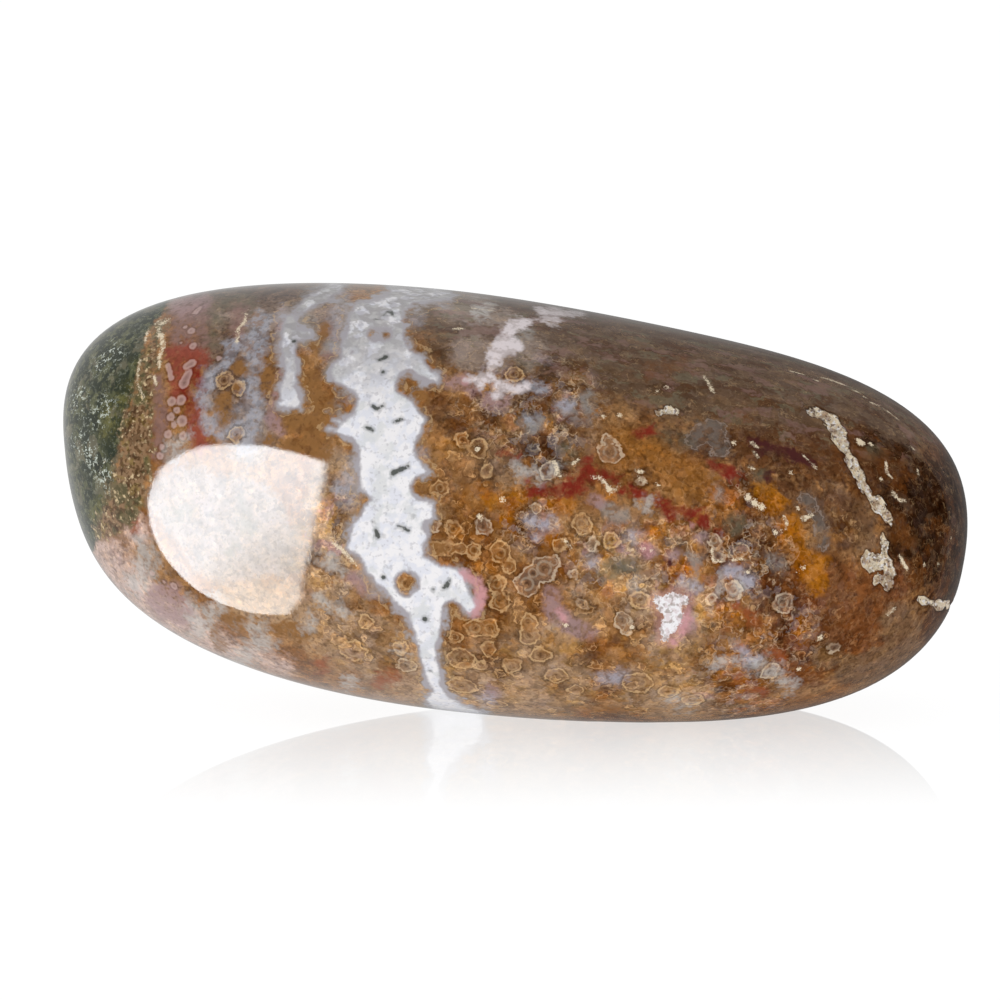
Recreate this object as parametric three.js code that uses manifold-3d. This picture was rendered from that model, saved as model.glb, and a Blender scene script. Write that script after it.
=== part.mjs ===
// A tumbled jasper: one river-smooth pebble, longer than it is high or deep, polished all over.
// The body is a swollen ellipsoid that lies a little nose-down, worn flat in one small patch
// underneath, where it rests. Open fissures and pits, half filled with rough cream mineral,
// break the polish near one end of the front face.
//
// Units are millimetres. +X runs along the stone to its blunt, dark end, +Z is up, and -Y is the
// front face. The origin is under the middle of the stone, on the surface it rests on.

import * as THREE from "three";
import { mergeVertices } from "three/addons/utils/BufferGeometryUtils.js";
import Module from "manifold-3d";

// ---- Driving dimensions -------------------------------------------------------------------

const SEMI_LENGTH = 26.2; // half of the long axis
const SEMI_HEIGHT = 11.9;
const SEMI_DEPTH = 12.8;
const TILT_DEG = -7.5; // the long axis dips towards +X
const SQUARENESS = 2.2; // 2 is an ellipsoid, more is a fuller pebble
const FOOT_WEAR = 0.4; // how much is worn off underneath, at the deepest

// How far the outline, seen from the front, stands out from a plain ellipse. Sixteen equal steps
// from the +X end, over the top, round the -X end and back along the underside.
const OUTLINE_SWELL = [
  0.97, 1.0, 1.015, 0.945, 0.94, 0.975, 1.025, 1.0, 0.945, 0.945, 1.0, 1.01, 0.98, 0.965, 0.985, 0.975,
];

const THICKER_AT_DARK_END = 0.2; // share of depth gained at +X and lost at -X
const LOW_BELLY = 0.08; // share of depth gained at the underside and lost at the top
const FLAT_CHEEK = 0.03; // a soft flat on the front face, as tumbling leaves

// Cells of the surface net along X, Y and Z.
const NET = [34, 19, 19];

// Places broken open on the front face: x, z and width of each hollow in a run, and how deep it is.
const OPEN_PLACES = [
  {
    depth: 0.4, // the long fissure
    run: [
      [15.9, 17.4, 0.6],
      [16.7, 17.1, 0.9],
      [17.3, 16.3, 1.0],
      [17.7, 15.4, 0.8],
      [18.3, 14.6, 0.8],
      [18.8, 13.5, 0.6],
      [19.4, 12.9, 0.8],
      [19.8, 12.2, 0.7],
      [20.1, 11.5, 0.4],
    ],
  },
  {
    depth: 0.4, // the pocket under it
    run: [
      [18.6, 9.9, 0.8],
      [19.2, 9.6, 0.9],
      [19.9, 9.4, 0.9],
      [20.1, 8.8, 0.8],
      [20.0, 8.2, 0.5],
    ],
  },
  {
    depth: 0.25, // the crack that runs off the dark end
    run: [
      [21.4, 7.3, 0.4],
      [22.5, 6.9, 0.5],
      [23.2, 6.8, 0.6],
      [24.1, 6.3, 0.5],
    ],
  },
  {
    depth: 0.25, // a pit by itself, high on the face
    run: [
      [7.9, 17.9, 0.5],
      [8.4, 17.7, 0.7],
    ],
  },
];
const HOLLOW_SPACING = 0.6; // of a hollow's width, along a run

// ---- The stone's form ---------------------------------------------------------------------

// The smooth closed curve through equally spaced values: how far the outline swells at an angle.
function outlineSwell(angle) {
  const steps = OUTLINE_SWELL.length;
  let total = 0;
  for (let i = 0; i < steps; i++) {
    const away = angle - (2 * Math.PI * i) / steps;
    const spread = Math.tan(away / 2);
    const share = Math.abs(spread) < 1e-9 ? 1 : Math.sin((steps * away) / 2) / (steps * spread);
    total += OUTLINE_SWELL[i] * share;
  }
  return total;
}

// Scales the three axes' share so that the point lies on the unit pebble.
function ontoUnitPebble(direction) {
  const sum =
    Math.abs(direction.x) ** SQUARENESS +
    Math.abs(direction.y) ** SQUARENESS +
    Math.abs(direction.z) ** SQUARENESS;
  return direction.clone().multiplyScalar(sum ** (-1 / SQUARENESS));
}

// How much wider than the plain ellipsoid the stone is at this point of the unit pebble. The
// swell dies out towards the middle of the front and back faces, which stay smooth.
function swellAt(x, z) {
  const outward = (Math.abs(x) ** SQUARENESS + Math.abs(z) ** SQUARENESS) ** (2 / SQUARENESS);
  return 1 + (outlineSwell(Math.atan2(z, x)) - 1) * outward;
}

function depthAt(unit) {
  const cheek = unit.y < 0 ? FLAT_CHEEK * unit.y ** 2 : 0;
  return SEMI_DEPTH * (1 + THICKER_AT_DARK_END * unit.x - LOW_BELLY * unit.z - cheek);
}

const tilt = new THREE.Matrix4().makeRotationY(THREE.MathUtils.degToRad(-TILT_DEG));

// A point of the stone's skin, before it is set down on its foot.
function skinPoint(unit) {
  const swell = swellAt(unit.x, unit.z);
  const point = new THREE.Vector3(
    SEMI_LENGTH * swell * unit.x,
    depthAt(unit) * unit.y,
    SEMI_HEIGHT * swell * unit.z,
  );
  return point.applyMatrix4(tilt);
}

// A closed box net, evened out and blown up into the pebble.
function pebbleGeometry() {
  const box = new THREE.BoxGeometry(2, 2, 2, ...NET);
  box.deleteAttribute("normal");
  box.deleteAttribute("uv");
  const geometry = mergeVertices(box, 1e-5);
  const position = geometry.getAttribute("position");
  const even = (t) => Math.tan((t * Math.PI) / 4);
  for (let i = 0; i < position.count; i++) {
    const corner = new THREE.Vector3().fromBufferAttribute(position, i);
    const direction = new THREE.Vector3(even(corner.x), even(corner.y), even(corner.z));
    const point = skinPoint(ontoUnitPebble(direction.normalize()));
    position.setXYZ(i, point.x, point.y, point.z);
  }
  geometry.computeBoundingBox();
  return geometry;
}

// ---- Open fissures and pits ---------------------------------------------------------------

// The point of the front face that lies at x, z of the finished stone, and the way out of it.
function onFrontFace(x, z, middle) {
  const flat = new THREE.Vector3(x, 0, z).add(middle).applyMatrix4(tilt.clone().invert());
  const find = (along, up) => {
    let unitX = along / SEMI_LENGTH;
    let unitZ = up / SEMI_HEIGHT;
    for (let turn = 0; turn < 12; turn++) {
      const swell = swellAt(unitX, unitZ);
      unitX = along / SEMI_LENGTH / swell;
      unitZ = up / SEMI_HEIGHT / swell;
    }
    const left = 1 - Math.abs(unitX) ** SQUARENESS - Math.abs(unitZ) ** SQUARENESS;
    return skinPoint(new THREE.Vector3(unitX, -(left ** (1 / SQUARENESS)), unitZ));
  };
  const step = 0.05;
  const point = find(flat.x, flat.z);
  const sideways = find(flat.x + step, flat.z).sub(point);
  const upwards = find(flat.x, flat.z + step).sub(point);
  return { point, out: sideways.cross(upwards).normalize() };
}

// A round hollow's cutter: a ball that dips into the skin by the depth, as wide as asked there.
function hollowCutter([x, z, width], depth, middle) {
  const radius = ((width / 2) ** 2 + depth ** 2) / (2 * depth);
  const ball = new THREE.IcosahedronGeometry(radius, 1);
  const { point, out } = onFrontFace(x, z, middle);
  const centre = point.addScaledVector(out, radius - depth);
  return ball.rotateY(x).rotateX(z).translate(centre.x, centre.y, centre.z);
}

// A run's hollows, with more set between them so that each overlaps the next.
function runOfHollows({ run, depth }, middle) {
  const cutters = [];
  for (let i = 0; i < run.length - 1; i++) {
    const [from, to] = [run[i], run[i + 1]];
    const apart = Math.hypot(to[0] - from[0], to[1] - from[1]);
    const steps = Math.max(1, Math.round((2 * apart) / (HOLLOW_SPACING * (from[2] + to[2]))));
    for (let k = 0; k < steps; k++) {
      const between = from.map((value, axis) => value + ((to[axis] - value) * k) / steps);
      cutters.push(hollowCutter(between, depth, middle));
    }
  }
  cutters.push(hollowCutter(run[run.length - 1], depth, middle));
  return cutters;
}

// ---- Solids -------------------------------------------------------------------------------

const wasm = await Module();
wasm.setup();

function solidFrom(geometry) {
  const bare = geometry.clone();
  for (const name of Object.keys(bare.attributes)) {
    if (name !== "position") bare.deleteAttribute(name);
  }
  const merged = mergeVertices(bare, 1e-5);
  return new wasm.Manifold(
    new wasm.Mesh({
      numProp: 3,
      vertProperties: new Float32Array(merged.getAttribute("position").array),
      triVerts: new Uint32Array(merged.index.array),
    }),
  );
}

function geometryFrom(solid) {
  const mesh = solid.getMesh();
  const geometry = new THREE.BufferGeometry();
  geometry.setAttribute("position", new THREE.BufferAttribute(mesh.vertProperties, mesh.numProp));
  geometry.setIndex(new THREE.BufferAttribute(mesh.triVerts, 1));
  return geometry;
}

// The smooth pebble set down: worn flat underneath, then broken open where the fissures are.
function stoneGeometry() {
  const pebble = pebbleGeometry();
  const box = pebble.boundingBox;
  const floor = box.min.z + FOOT_WEAR;
  const size = box.getSize(new THREE.Vector3());
  const below = new THREE.BoxGeometry(2 * size.x, 2 * size.y, size.z);
  below.translate(0, 0, floor - size.z / 2);
  const middle = new THREE.Vector3((box.min.x + box.max.x) / 2, 0, floor);

  let stone = solidFrom(pebble).subtract(solidFrom(below));
  for (const place of OPEN_PLACES) {
    for (const cutter of runOfHollows(place, middle)) {
      stone = stone.subtract(solidFrom(cutter));
    }
  }
  const geometry = geometryFrom(stone);
  return geometry.translate(-middle.x, -(box.min.y + box.max.y) / 2, -floor);
}

// ---- The part -----------------------------------------------------------------------------

const jasper = new THREE.MeshStandardMaterial({
  color: new THREE.Color().setRGB(0.47, 0.35, 0.25, THREE.SRGBColorSpace),
  roughness: 0.12,
  metalness: 0,
});

const stone = new THREE.Mesh(stoneGeometry(), jasper);
stone.name = "tumbled_stone";

const part = new THREE.Group();
part.add(stone);

export default part;
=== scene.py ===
"""A tumbled orbicular jasper, dressed for rendering. It is laid out as an add-on and run as a script.

The stone's form follows the same formulas as its plain solid, on a much finer mesh. Its markings are
fields that each vertex carries, in millimetres: how far inside a zone, a band, an orb or a crack it
lies. The material turns the fields into colour, with edges and fine detail from procedural noise.

Lengths are metres in the frame (+X along the stone, +Z up, -Y the front face) unless a name says mm.
Markings are drawn in pixels of the camera's 1000 x 1000 image, x to the right and y down, and then
belong to the stone: they run on through it to the back.
"""

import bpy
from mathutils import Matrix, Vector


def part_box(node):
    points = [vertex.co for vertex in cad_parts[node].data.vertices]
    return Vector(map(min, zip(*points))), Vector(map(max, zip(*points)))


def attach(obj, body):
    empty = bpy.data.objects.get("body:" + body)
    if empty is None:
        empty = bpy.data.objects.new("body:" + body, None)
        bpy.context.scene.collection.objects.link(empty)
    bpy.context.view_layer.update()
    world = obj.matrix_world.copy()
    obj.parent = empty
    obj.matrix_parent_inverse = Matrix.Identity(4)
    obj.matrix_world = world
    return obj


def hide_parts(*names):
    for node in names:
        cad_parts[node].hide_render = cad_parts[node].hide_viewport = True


bl_info = {
    "name": "Tumbled Jasper",
    "version": (1, 0, 0),
    "blender": (4, 5, 0),
    "location": "3D View > Sidebar > Jasper",
    "description": "A polished orbicular jasper pebble and the studio that it lies in",
    "category": "Add Mesh",
}

import math
from typing import NamedTuple

import bmesh
import bpy
import numpy as np
from bpy.props import FloatProperty, FloatVectorProperty, IntProperty, IntVectorProperty, PointerProperty
from mathutils import Vector, noise
from mathutils.bvhtree import BVHTree

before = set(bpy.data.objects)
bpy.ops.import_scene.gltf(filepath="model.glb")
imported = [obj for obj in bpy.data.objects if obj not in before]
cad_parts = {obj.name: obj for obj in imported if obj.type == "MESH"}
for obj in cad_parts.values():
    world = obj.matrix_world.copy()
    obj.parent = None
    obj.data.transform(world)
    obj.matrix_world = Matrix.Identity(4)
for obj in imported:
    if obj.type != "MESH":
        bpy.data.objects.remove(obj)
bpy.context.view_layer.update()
STONE_BOX = [Vector(corner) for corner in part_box("tumbled_stone")]

MM = 0.001
IMAGE = 1000.0  # pixels across the camera's image
SENSOR = 36 * MM
PIXEL_MM = 0.055  # about what a pixel covers on the stone
WIDER_BEHIND = 0.3  # millimetres that a patch or the pale band gains on each side behind
BEHIND = (-3, 5)  # millimetres in depth between which a marking passes to the back
OUTSIDE = -1e3  # the field of a place that no stroke is near

# ---- Where things lie: the stone's form ------------------------------------------------------

# How far the outline, seen from the front, stands out from a plain ellipse. Sixteen equal steps
# from the +X end, over the top, round the -X end and back along the underside.
OUTLINE_SWELL = (
    0.97, 1.0, 1.015, 0.945, 0.94, 0.975, 1.025, 1.0, 0.945, 0.945, 1.0, 1.01, 0.98, 0.965, 0.985, 0.975,
)  # fmt: skip

# ---- Where things lie: the markings, in pixels -----------------------------------------------
# A run is a stroke: (x, y, half-width) at each bend. A run of one point is a dot.

# The big pale band: what of it is white. The grey halo lies round it.
WHITE_BAND = [
    (395, 270), (392, 297), (372, 303), (358, 305), (354, 313), (351, 322), (350, 332), (347, 340),
    (344, 350), (344, 360), (336, 364), (333, 371), (336, 379), (346, 385), (357, 391), (360, 399),
    (358, 408), (355, 415), (346, 422), (338, 431), (346, 434), (355, 436), (361, 444), (362, 456),
    (361, 472), (362, 485), (368, 493), (376, 498), (368, 507), (362, 516), (355, 526), (352, 540),
    (350, 548), (359, 552), (366, 562), (371, 573), (379, 584), (386, 586), (396, 602), (404, 606),
    (409, 612), (414, 624), (418, 636), (422, 652), (426, 668), (429, 680), (436, 690), (428, 700),
    (440, 716), (484, 724), (480, 714), (462, 706), (447, 698), (440, 688), (437, 676), (434, 662),
    (434, 646), (437, 632), (438, 616), (441, 603), (447, 598), (456, 597), (461, 601), (465, 608),
    (470, 611), (473, 605), (469, 596), (465, 588), (461, 580), (456, 571), (440, 568), (421, 557),
    (421, 545), (424, 536), (420, 528), (423, 520), (431, 517), (431, 505), (420, 501), (411, 495),
    (409, 485), (414, 476), (424, 471), (417, 462), (412, 452), (412, 442), (418, 432), (422, 420),
    (415, 410), (410, 403), (402, 398), (394, 392), (393, 381), (398, 371), (406, 367), (414, 368),
    (418, 372), (428, 377), (437, 381), (435, 376), (424, 367), (420, 359), (411, 354), (404, 347),
    (401, 336), (400, 322), (401, 308), (420, 300), (450, 296), (446, 270),
]  # fmt: skip
WHITE_STRIP = [
    [(338, 286, 3), (326, 293, 4), (310, 302, 4), (299, 311, 1.5)],
    [(291, 320, 3), (289, 332, 4), (288, 344, 5), (289, 353, 3.5), (291, 370, 3), (290, 381, 3.5),
     (286, 390, 3), (286, 397, 3.5)],
    [(280, 404, 1), (288, 402, 2.5), (296, 402, 2), (292, 392, 3)], [(291, 337, 3), (308, 334, 1.5)],
    [(342, 431, 1), (328, 429, -1)], [(346, 424, 1), (334, 420, -1)],
]  # fmt: skip
# Round bays that brown orbs press into the white, out to where the white begins.
BAND_BAYS = [
    [(407, 583, 15)], [(408, 384, 13)], [(422, 489, 14)], [(440, 549, 14)], [(374, 334, 9), (386, 334, 9)],
    [(411, 320, 9)], [(414, 306, 6), (434, 305, 6)], [(372, 318, 2), (380, 316, 3)], [(352, 352, 3)],
    [(411, 341, 4), (424, 343, 4)], [(425, 525, 5)], [(294, 341, 2)], [(306, 322, 6)],
]  # fmt: skip


# Where the ground shows through a patch, this much of its share is left: more in a patch whose share
# is over STRONG, and less in the others.
STRONG = 0.94
LEFT_OF_STRONG = 0.72
LEFT_OF_FAINT = 0.42


class Layer(NamedTuple):
    """Patches of one colour. share is how much of the colour is laid. The edge is soft over fade
    millimetres, uneven by about ragged millimetres, and bulges round the orbs by scallop. There may
    be a rim of another colour."""

    name: str
    colour: str
    fade: float
    ragged: float
    scallop: float
    share: float
    runs: list
    rim: str = ""

    def least(self):
        """The share where the ground shows through."""
        return self.share * (LEFT_OF_STRONG if self.share > STRONG else LEFT_OF_FAINT)


# Broad, soft zones, in the order that they are laid over the ground colour.
ZONES = [
    Layer("zone_veil", "veil_brown", 1.8, 0.5, 0.2, 1.0, [
        [(430, 312, 26), (520, 330, 40), (620, 350, 52), (720, 376, 54), (810, 405, 50),
         (890, 430, 40)], [(470, 345, 24), (445, 345, 20)], [(940, 440, 20)],
    ]),
    Layer("zone_greige", "greige", 0.8, 0.4, 0.3, 0.9, [
        [(215, 300, 26), (270, 320, 34), (330, 320, 26)],
        [(225, 350, 22), (240, 400, 30), (250, 440, 24)], [(450, 300, 16), (500, 320, 12)],
        [(470, 352, 20), (500, 365, 12)], [(530, 352, 16)], [(176, 300, 12)],
        # The first run on the next line lies under the soft box's glint: the ground there is greyed partly
        # as painted highlight, to make the glint show whiter, and partly as the stone's own mottling.
        [(185, 500, 34), (235, 530, 54), (280, 550, 26)], [(340, 340, 16), (336, 370, 14)],
        [(338, 470, 18), (332, 486, 18)], [(338, 552, 14)], [(334, 600, 14)],
    ]),
    Layer("zone_busy", "dusty_tan", 1.0, 0.6, 0.4, 0.9, [
        [(510, 405, 24), (540, 430, 30), (575, 400, 26), (580, 440, 22)],
        [(480, 440, 14), (500, 470, 18)], [(540, 470, 18)],
    ]),
    Layer("zone_dark_end", "walnut", 2.4, 1.0, 0.3, 1.0, [
        [(960, 430, 36), (985, 540, 66), (950, 660, 40)],
    ]),
    Layer("zone_umber", "umber", 1.1, 0.8, 0.4, 1.0, [
        [(900, 474, 28), (922, 498, 36), (914, 556, 30)], [(872, 450, 18), (890, 500, 14)],
        [(962, 480, 30), (980, 540, 36), (966, 600, 24)],
    ]),
    Layer("zone_walnut", "walnut", 1.0, 0.6, 0.4, 0.9, [
        [(676, 440, 12), (735, 448, 18), (775, 450, 24), (815, 462, 26), (850, 450, 20),
         (866, 500, 10)], [(560, 470, 10), (545, 440, 10)], [(750, 480, 14), (780, 490, 16)],
    ]),
    Layer("zone_russet", "russet", 1.2, 0.7, 0.4, 0.85, [
        [(770, 590, 24), (830, 600, 44), (862, 620, 36), (800, 650, 36), (885, 585, 26)],
        [(740, 520, 14)],
    ]),
    Layer("zone_tan", "tan", 0.5, 0.35, 0.4, 1.0, [
        [(815, 500, 10), (834, 505, 20), (850, 524, 25), (866, 540, 12)],
        [(900, 625, 20), (905, 650, 16)], [(850, 670, 14), (880, 662, 16)], [(826, 656, 14)],
    ]),
    Layer("zone_mustard", "mustard", 1.0, 0.6, 0.5, 0.9, [
        [(620, 446, 20), (655, 460, 20), (690, 484, 16), (724, 502, 18)],
        [(768, 502, 8), (790, 528, 16)], [(470, 515, 22), (475, 560, 20), (485, 605, 20)],
        [(640, 474, 20)], [(512, 510, 14)],
    ]),
    Layer("zone_pale_tan", "pale_tan", 1.4, 0.6, 0.5, 0.85, [
        [(585, 604, 14)], [(610, 550, 20), (645, 600, 24), (700, 612, 18), (670, 650, 26)],
        [(336, 470, 16), (330, 510, 22), (325, 555, 28), (335, 595, 24)], [(360, 650, 24)],
        [(240, 600, 16), (300, 610, 24), (350, 640, 34), (410, 670, 34), (480, 690, 28),
         (560, 684, 34)], [(560, 640, 22), (520, 650, 16)], [(640, 690, 24), (684, 694, 26)],
    ]),
    Layer("zone_rose", "rose_tan", 1.0, 0.4, 0.3, 1.0, [
        [(88, 540, 10), (104, 556, 18), (124, 580, 20), (150, 610, 22), (190, 630, 20), (236, 652, 8),
         (285, 668, 7)], [(136, 530, 14)],
    ]),
    Layer("zone_shadow", "walnut", 1.2, 0.6, 0.5, 0.62, [
        [(775, 500, 24), (830, 510, 24)], [(740, 530, 16), (770, 560, 16)], [(578, 598, 10)],
        [(222, 340, 20), (236, 390, 20)], [(270, 350, 18), (280, 410, 14)], [(640, 480, 14)],
        [(215, 300, 14), (300, 290, 14)], [(438, 405, 16)], [(830, 550, 20)], [(480, 590, 14)],
    ]),
    Layer("zone_amber", "amber", 0.6, 0.5, 0.4, 0.88, [
        [(486, 500, 5), (505, 500, 7), (528, 498, 5)], [(544, 501, 4), (556, 505, 5), (570, 508, 6)],
        [(802, 556, 11), (812, 567, 15), (816, 582, 9)], [(790, 522, 8), (798, 536, 9)],
        [(760, 490, 8), (776, 504, 10)], [(689, 564, 8)], [(802, 630, 8)],
        [(720, 612, 6), (736, 612, 7)], [(508, 516, 6)], [(660, 530, 8)], [(552, 540, 5)],
        [(610, 498, 3)],
    ]),
]

# Patches, over the orbs' texture.
PATCHES = [
    Layer("patch_olive", "olive_grey", 0.9, 0.4, 0.4, 0.6, [
        [(172, 514, 7), (187, 512, 6)], [(240, 508, 5), (247, 530, 6)], [(231, 549, 5)],
        [(212, 306, 6), (232, 300, 9), (248, 302, 8)], [(216, 318, 5), (212, 332, 8), (215, 344, 5)],
        [(600, 570, 6), (614, 568, 9), (630, 566, 6)], [(735, 522, 9)], [(566, 454, 6)],
        [(760, 476, 6)],
    ]),
    Layer("patch_dusk", "dusk", 0.6, 0.25, 0.3, 0.9, [
        [(180, 318, 10), (196, 314, 15), (190, 334, 20)], [(240, 312, 8), (238, 332, 7)],
        [(328, 330, 7), (342, 336, 6)], [(330, 356, 6)], [(158, 380, 6), (160, 420, 6), (156, 455, 5)],
    ]),
    Layer("patch_grey", "stone_grey", 0.6, 0.35, 0.5, 0.65, [
        [(568, 408, 7), (576, 414, 6)], [(586, 398, 7), (590, 410, 7)], [(610, 510, 8), (624, 514, 5)],
        [(518, 336, 6), (530, 334, 5)], [(776, 560, 8)], [(528, 424, 7), (538, 420, 6)],
        [(696, 560, 7)], [(306, 320, 9), (308, 336, 7)], [(328, 346, 7)], [(336, 408, 5)],
        [(720, 495, 6)],
    ]),
    Layer("patch_slate", "slate", 0.8, 0.45, 0.5, 0.75, [
        [(697, 438, 8), (712, 432, 12), (720, 446, 9)], [(808, 503, 7)], [(820, 524, 6), (822, 538, 9)],
    ], "greige"),
    Layer("patch_dim", "olive_grey", 0.9, 0.4, 0.3, 0.35, [
        [(660, 432, 7), (680, 440, 10)], [(872, 452, 7)],
    ]),
    Layer("patch_mauve", "mauve", 0.5, 0.25, 0.3, 0.8, [
        [(165, 600, 18), (180, 612, 14)], [(184, 306, 12), (202, 300, 9)],
        [(448, 382, 5), (462, 382, 9), (474, 390, 7)], [(490, 402, 8), (504, 402, 6)],
        [(282, 312, 4), (281, 345, 4), (281, 372, 4), (274, 404, 6)], [(272, 418, 6), (280, 430, 6)],
        [(550, 594, 7), (554, 612, 9), (570, 626, 9), (590, 634, 7)], [(492, 692, 7)], [(686, 625, 8)],
        [(648, 550, 8)], [(598, 500, 7)], [(352, 576, 6), (361, 590, 5)], [(674, 554, 6)],
        [(700, 540, 6)],
    ]),
    Layer("patch_red", "brick", 0.6, 0.4, 0.3, 0.95, [
        [(172, 352, 7), (186, 354, 10), (203, 358, 7)], [(180, 368, 10), (176, 392, 6)],
        [(196, 412, 7), (196, 428, 9), (200, 444, 8)], [(730, 470, 4)], [(736, 606, 3)],
    ]),
    Layer("patch_deep_red", "blood_red", 0.5, 0.4, 0.4, 0.96, [
        [(196, 376, 8), (200, 386, 5)], [(184, 392, 5), (192, 400, 6)], [(589, 464, 6), (588, 474, 9)],
        [(580, 482, 8), (568, 490, 7), (552, 490, 4), (534, 491, 3)], [(603, 474, 3), (616, 481, 3)],
        [(622, 490, 4), (634, 492, 4), (644, 494, 2)], [(655, 498, 3), (664, 506, 6), (671, 514, 5)],
        [(685, 513, 4), (699, 517, 7), (706, 524, 4)], [(715, 465, 3), (727, 470, 4), (738, 477, 3)],
        [(500, 452, 2), (518, 457, 1)], [(718, 533, 3)], [(636, 432, 2), (654, 432, 3)],
        [(528, 480, 2)],
    ]),
    Layer("patch_maroon", "maroon", 0.3, 0.25, 0.4, 0.95, [
        [(750, 441, 2), (772, 447, 4), (792, 453, 5), (812, 463, 2.5)], [(760, 452, 3)],
        [(770, 476, 4)], [(671, 565, 3)], [(776, 562, 3)], [(476, 394, 3)], [(548, 470, 4)],
    ]),
    Layer("patch_rust", "rust", 0.4, 0.35, 0.5, 0.8, [
        [(770, 650, 6), (780, 660, 4)], [(750, 690, 4), (764, 688, 4)], [(737, 675, 3)],
        [(112, 508, 6), (126, 512, 8), (134, 526, 6)], [(748, 612, 5), (758, 622, 4)], [(712, 596, 3)],
        [(392, 676, 8), (380, 680, 5)], [(322, 665, 6)],
    ]),
    Layer("patch_ember", "ember", 1.3, 0.8, 0.4, 0.55, [
        [(880, 465, 10), (898, 470, 8)], [(896, 520, 8), (905, 540, 9)], [(836, 446, 5), (842, 456, 4)],
        [(856, 492, 5)], [(650, 372, 5), (682, 362, 5)], [(580, 420, 8)], [(540, 404, 6)],
        [(745, 420, 8)],
    ]),
    Layer("patch_brown", "orange_brown", 0.3, 0.3, 0.4, 0.9, [
        [(266, 346, 3), (268, 362, 7), (267, 378, 9), (267, 391, 5)], [(254, 374, 3), (238, 370, 6)],
        [(325, 330, 5), (315, 344, 6)], [(303, 359, 5)], [(311, 378, 9), (316, 397, 10), (326, 408, 9)],
        [(290, 424, 8), (308, 428, 12), (330, 426, 8)], [(296, 446, 8), (318, 448, 14)],
        [(270, 441, 6)], [(402, 387, 4), (412, 384, 6), (424, 398, 5)], [(378, 333, 4)],
        [(420, 489, 7)], [(454, 609, 6)], [(226, 398, 8), (222, 410, 7), (228, 418, 8)],
        [(224, 379, 3)], [(238, 388, 4)], [(236, 434, 4)], [(440, 548, 7)],
        [(225, 614, 6), (240, 625, 8)], [(272, 627, 5), (300, 632, 8)], [(207, 615, 4), (220, 645, 5)],
        [(408, 584, 5)], [(258, 318, 5)],
    ]),
    Layer("patch_lilac", "halo", 0.7, 0.4, 0.5, 0.6, [
        [(344, 296, 6), (340, 326, 8), (338, 350, 7)], [(424, 288, 8), (442, 298, 7)], [(418, 318, 5)],
        [(352, 394, 6)], [(350, 470, 9), (352, 500, 7)], [(420, 420, 6)], [(418, 456, 7)],
        [(426, 508, 6)], [(337, 376, 4)], [(282, 312, 5), (282, 345, 4)],
        [(366, 560, 8), (376, 590, 7)],
    ]),
    Layer("patch_chalcedony", "chalcedony", 0.6, 0.4, 0.5, 0.72, [
        [(208, 376, 5), (217, 373, 4)], [(213, 381, 5), (206, 389, 5), (199, 397, 6), (204, 405, 5)],
        [(204, 405, 5), (206, 420, 6), (212, 430, 6), (219, 435, 6), (232, 428, 5), (242, 424, 6)],
        [(250, 381, 5), (248, 391, 6), (253, 401, 8), (254, 412, 8), (250, 430, 8), (248, 444, 7)],
        [(262, 320, 9), (258, 331, 10), (254, 342, 11), (256, 353, 9), (254, 370, 3)],
        [(232, 347, 6), (227, 358, 2), (225, 366, 2)], [(242, 408, 3), (233, 410, 2)], [(340, 487, 6)],
        [(530, 420, 5)], [(524, 384, 4), (540, 390, 5)], [(436, 379, 3)],
    ]),
    Layer("patch_mist", "mist", 0.9, 0.45, 0.4, 0.7, [
        [(604, 679, 4), (620, 677, 4)], [(530, 521, 3), (540, 526, 5), (551, 522, 3)], [(537, 536, 3)],
        [(592, 562, 5)], [(682, 581, 3), (692, 586, 6)], [(730, 573, 6), (748, 582, 6)],
        [(486, 700, 5)], [(632, 535, 5)], [(742, 658, 5), (756, 662, 4)], [(566, 402, 5)],
    ]),
    Layer("patch_ash", "ash", 0.7, 0.6, 0.7, 0.65, [
        [(140, 545, 6), (145, 560, 8), (138, 582, 9), (152, 570, 6)], [(520, 470, 6), (540, 474, 5)],
        [(193, 605, 5), (202, 630, 8), (212, 605, 6), (222, 610, 5)], [(309, 623, 5)], [(552, 470, 5)],
        [(252, 625, 8), (262, 640, 10), (246, 655, 9), (235, 664, 7)], [(349, 682, 6)], [(400, 648, 4)],
        [(716, 664, 3), (734, 660, 4)], [(756, 662, 3), (774, 670, 5), (788, 684, 4)],
        [(722, 588, 4), (738, 590, 5)], [(632, 586, 5)], [(668, 698, 3), (690, 704, 2)],
        [(328, 562, 4), (340, 570, 3)], [(322, 600, 4), (342, 612, 3)], [(180, 440, 8), (172, 450, 6)],
        [(648, 505, 5)], [(485, 309, 5), (478, 311, 6)],
    ]),
    Layer("patch_pink", "pink", 0.35, 0.2, 0.2, 0.85, [
        [(645, 548, 5), (650, 552, 4)], [(462, 574, 3), (478, 582, 5), (482, 596, 5), (474, 612, 4)],
        # Of the next line's runs, the two small dots in the mauve arc are painted highlights.
        [(687, 612, 4), (684, 630, 4), (674, 642, 4)], [(559, 611, 1.6), (565, 622, 1.8)],
        [(692, 526, 3)], [(465, 381, 3)],
    ]),
    Layer("patch_vein", "pale_vein", 0.4, 0.25, 0.3, 0.97, [
        [(528, 322, 4), (513, 325, 6), (507, 336, 5)], [(516, 346, 5), (502, 345, 8), (495, 356, 8)],
        [(494, 362, 6), (491, 371, 2.5)], [(492, 378, 4), (478, 380, 3), (466, 379, 2)],
        [(480, 385, 4)], [(496, 386, 5), (506, 386, 4), (516, 389, 3), (526, 386, 3)], [(497, 396, 4)],
        [(545, 318, 3), (560, 322, 1.5)], [(540, 311, 3), (582, 314, 2)],
    ]),
]

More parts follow.
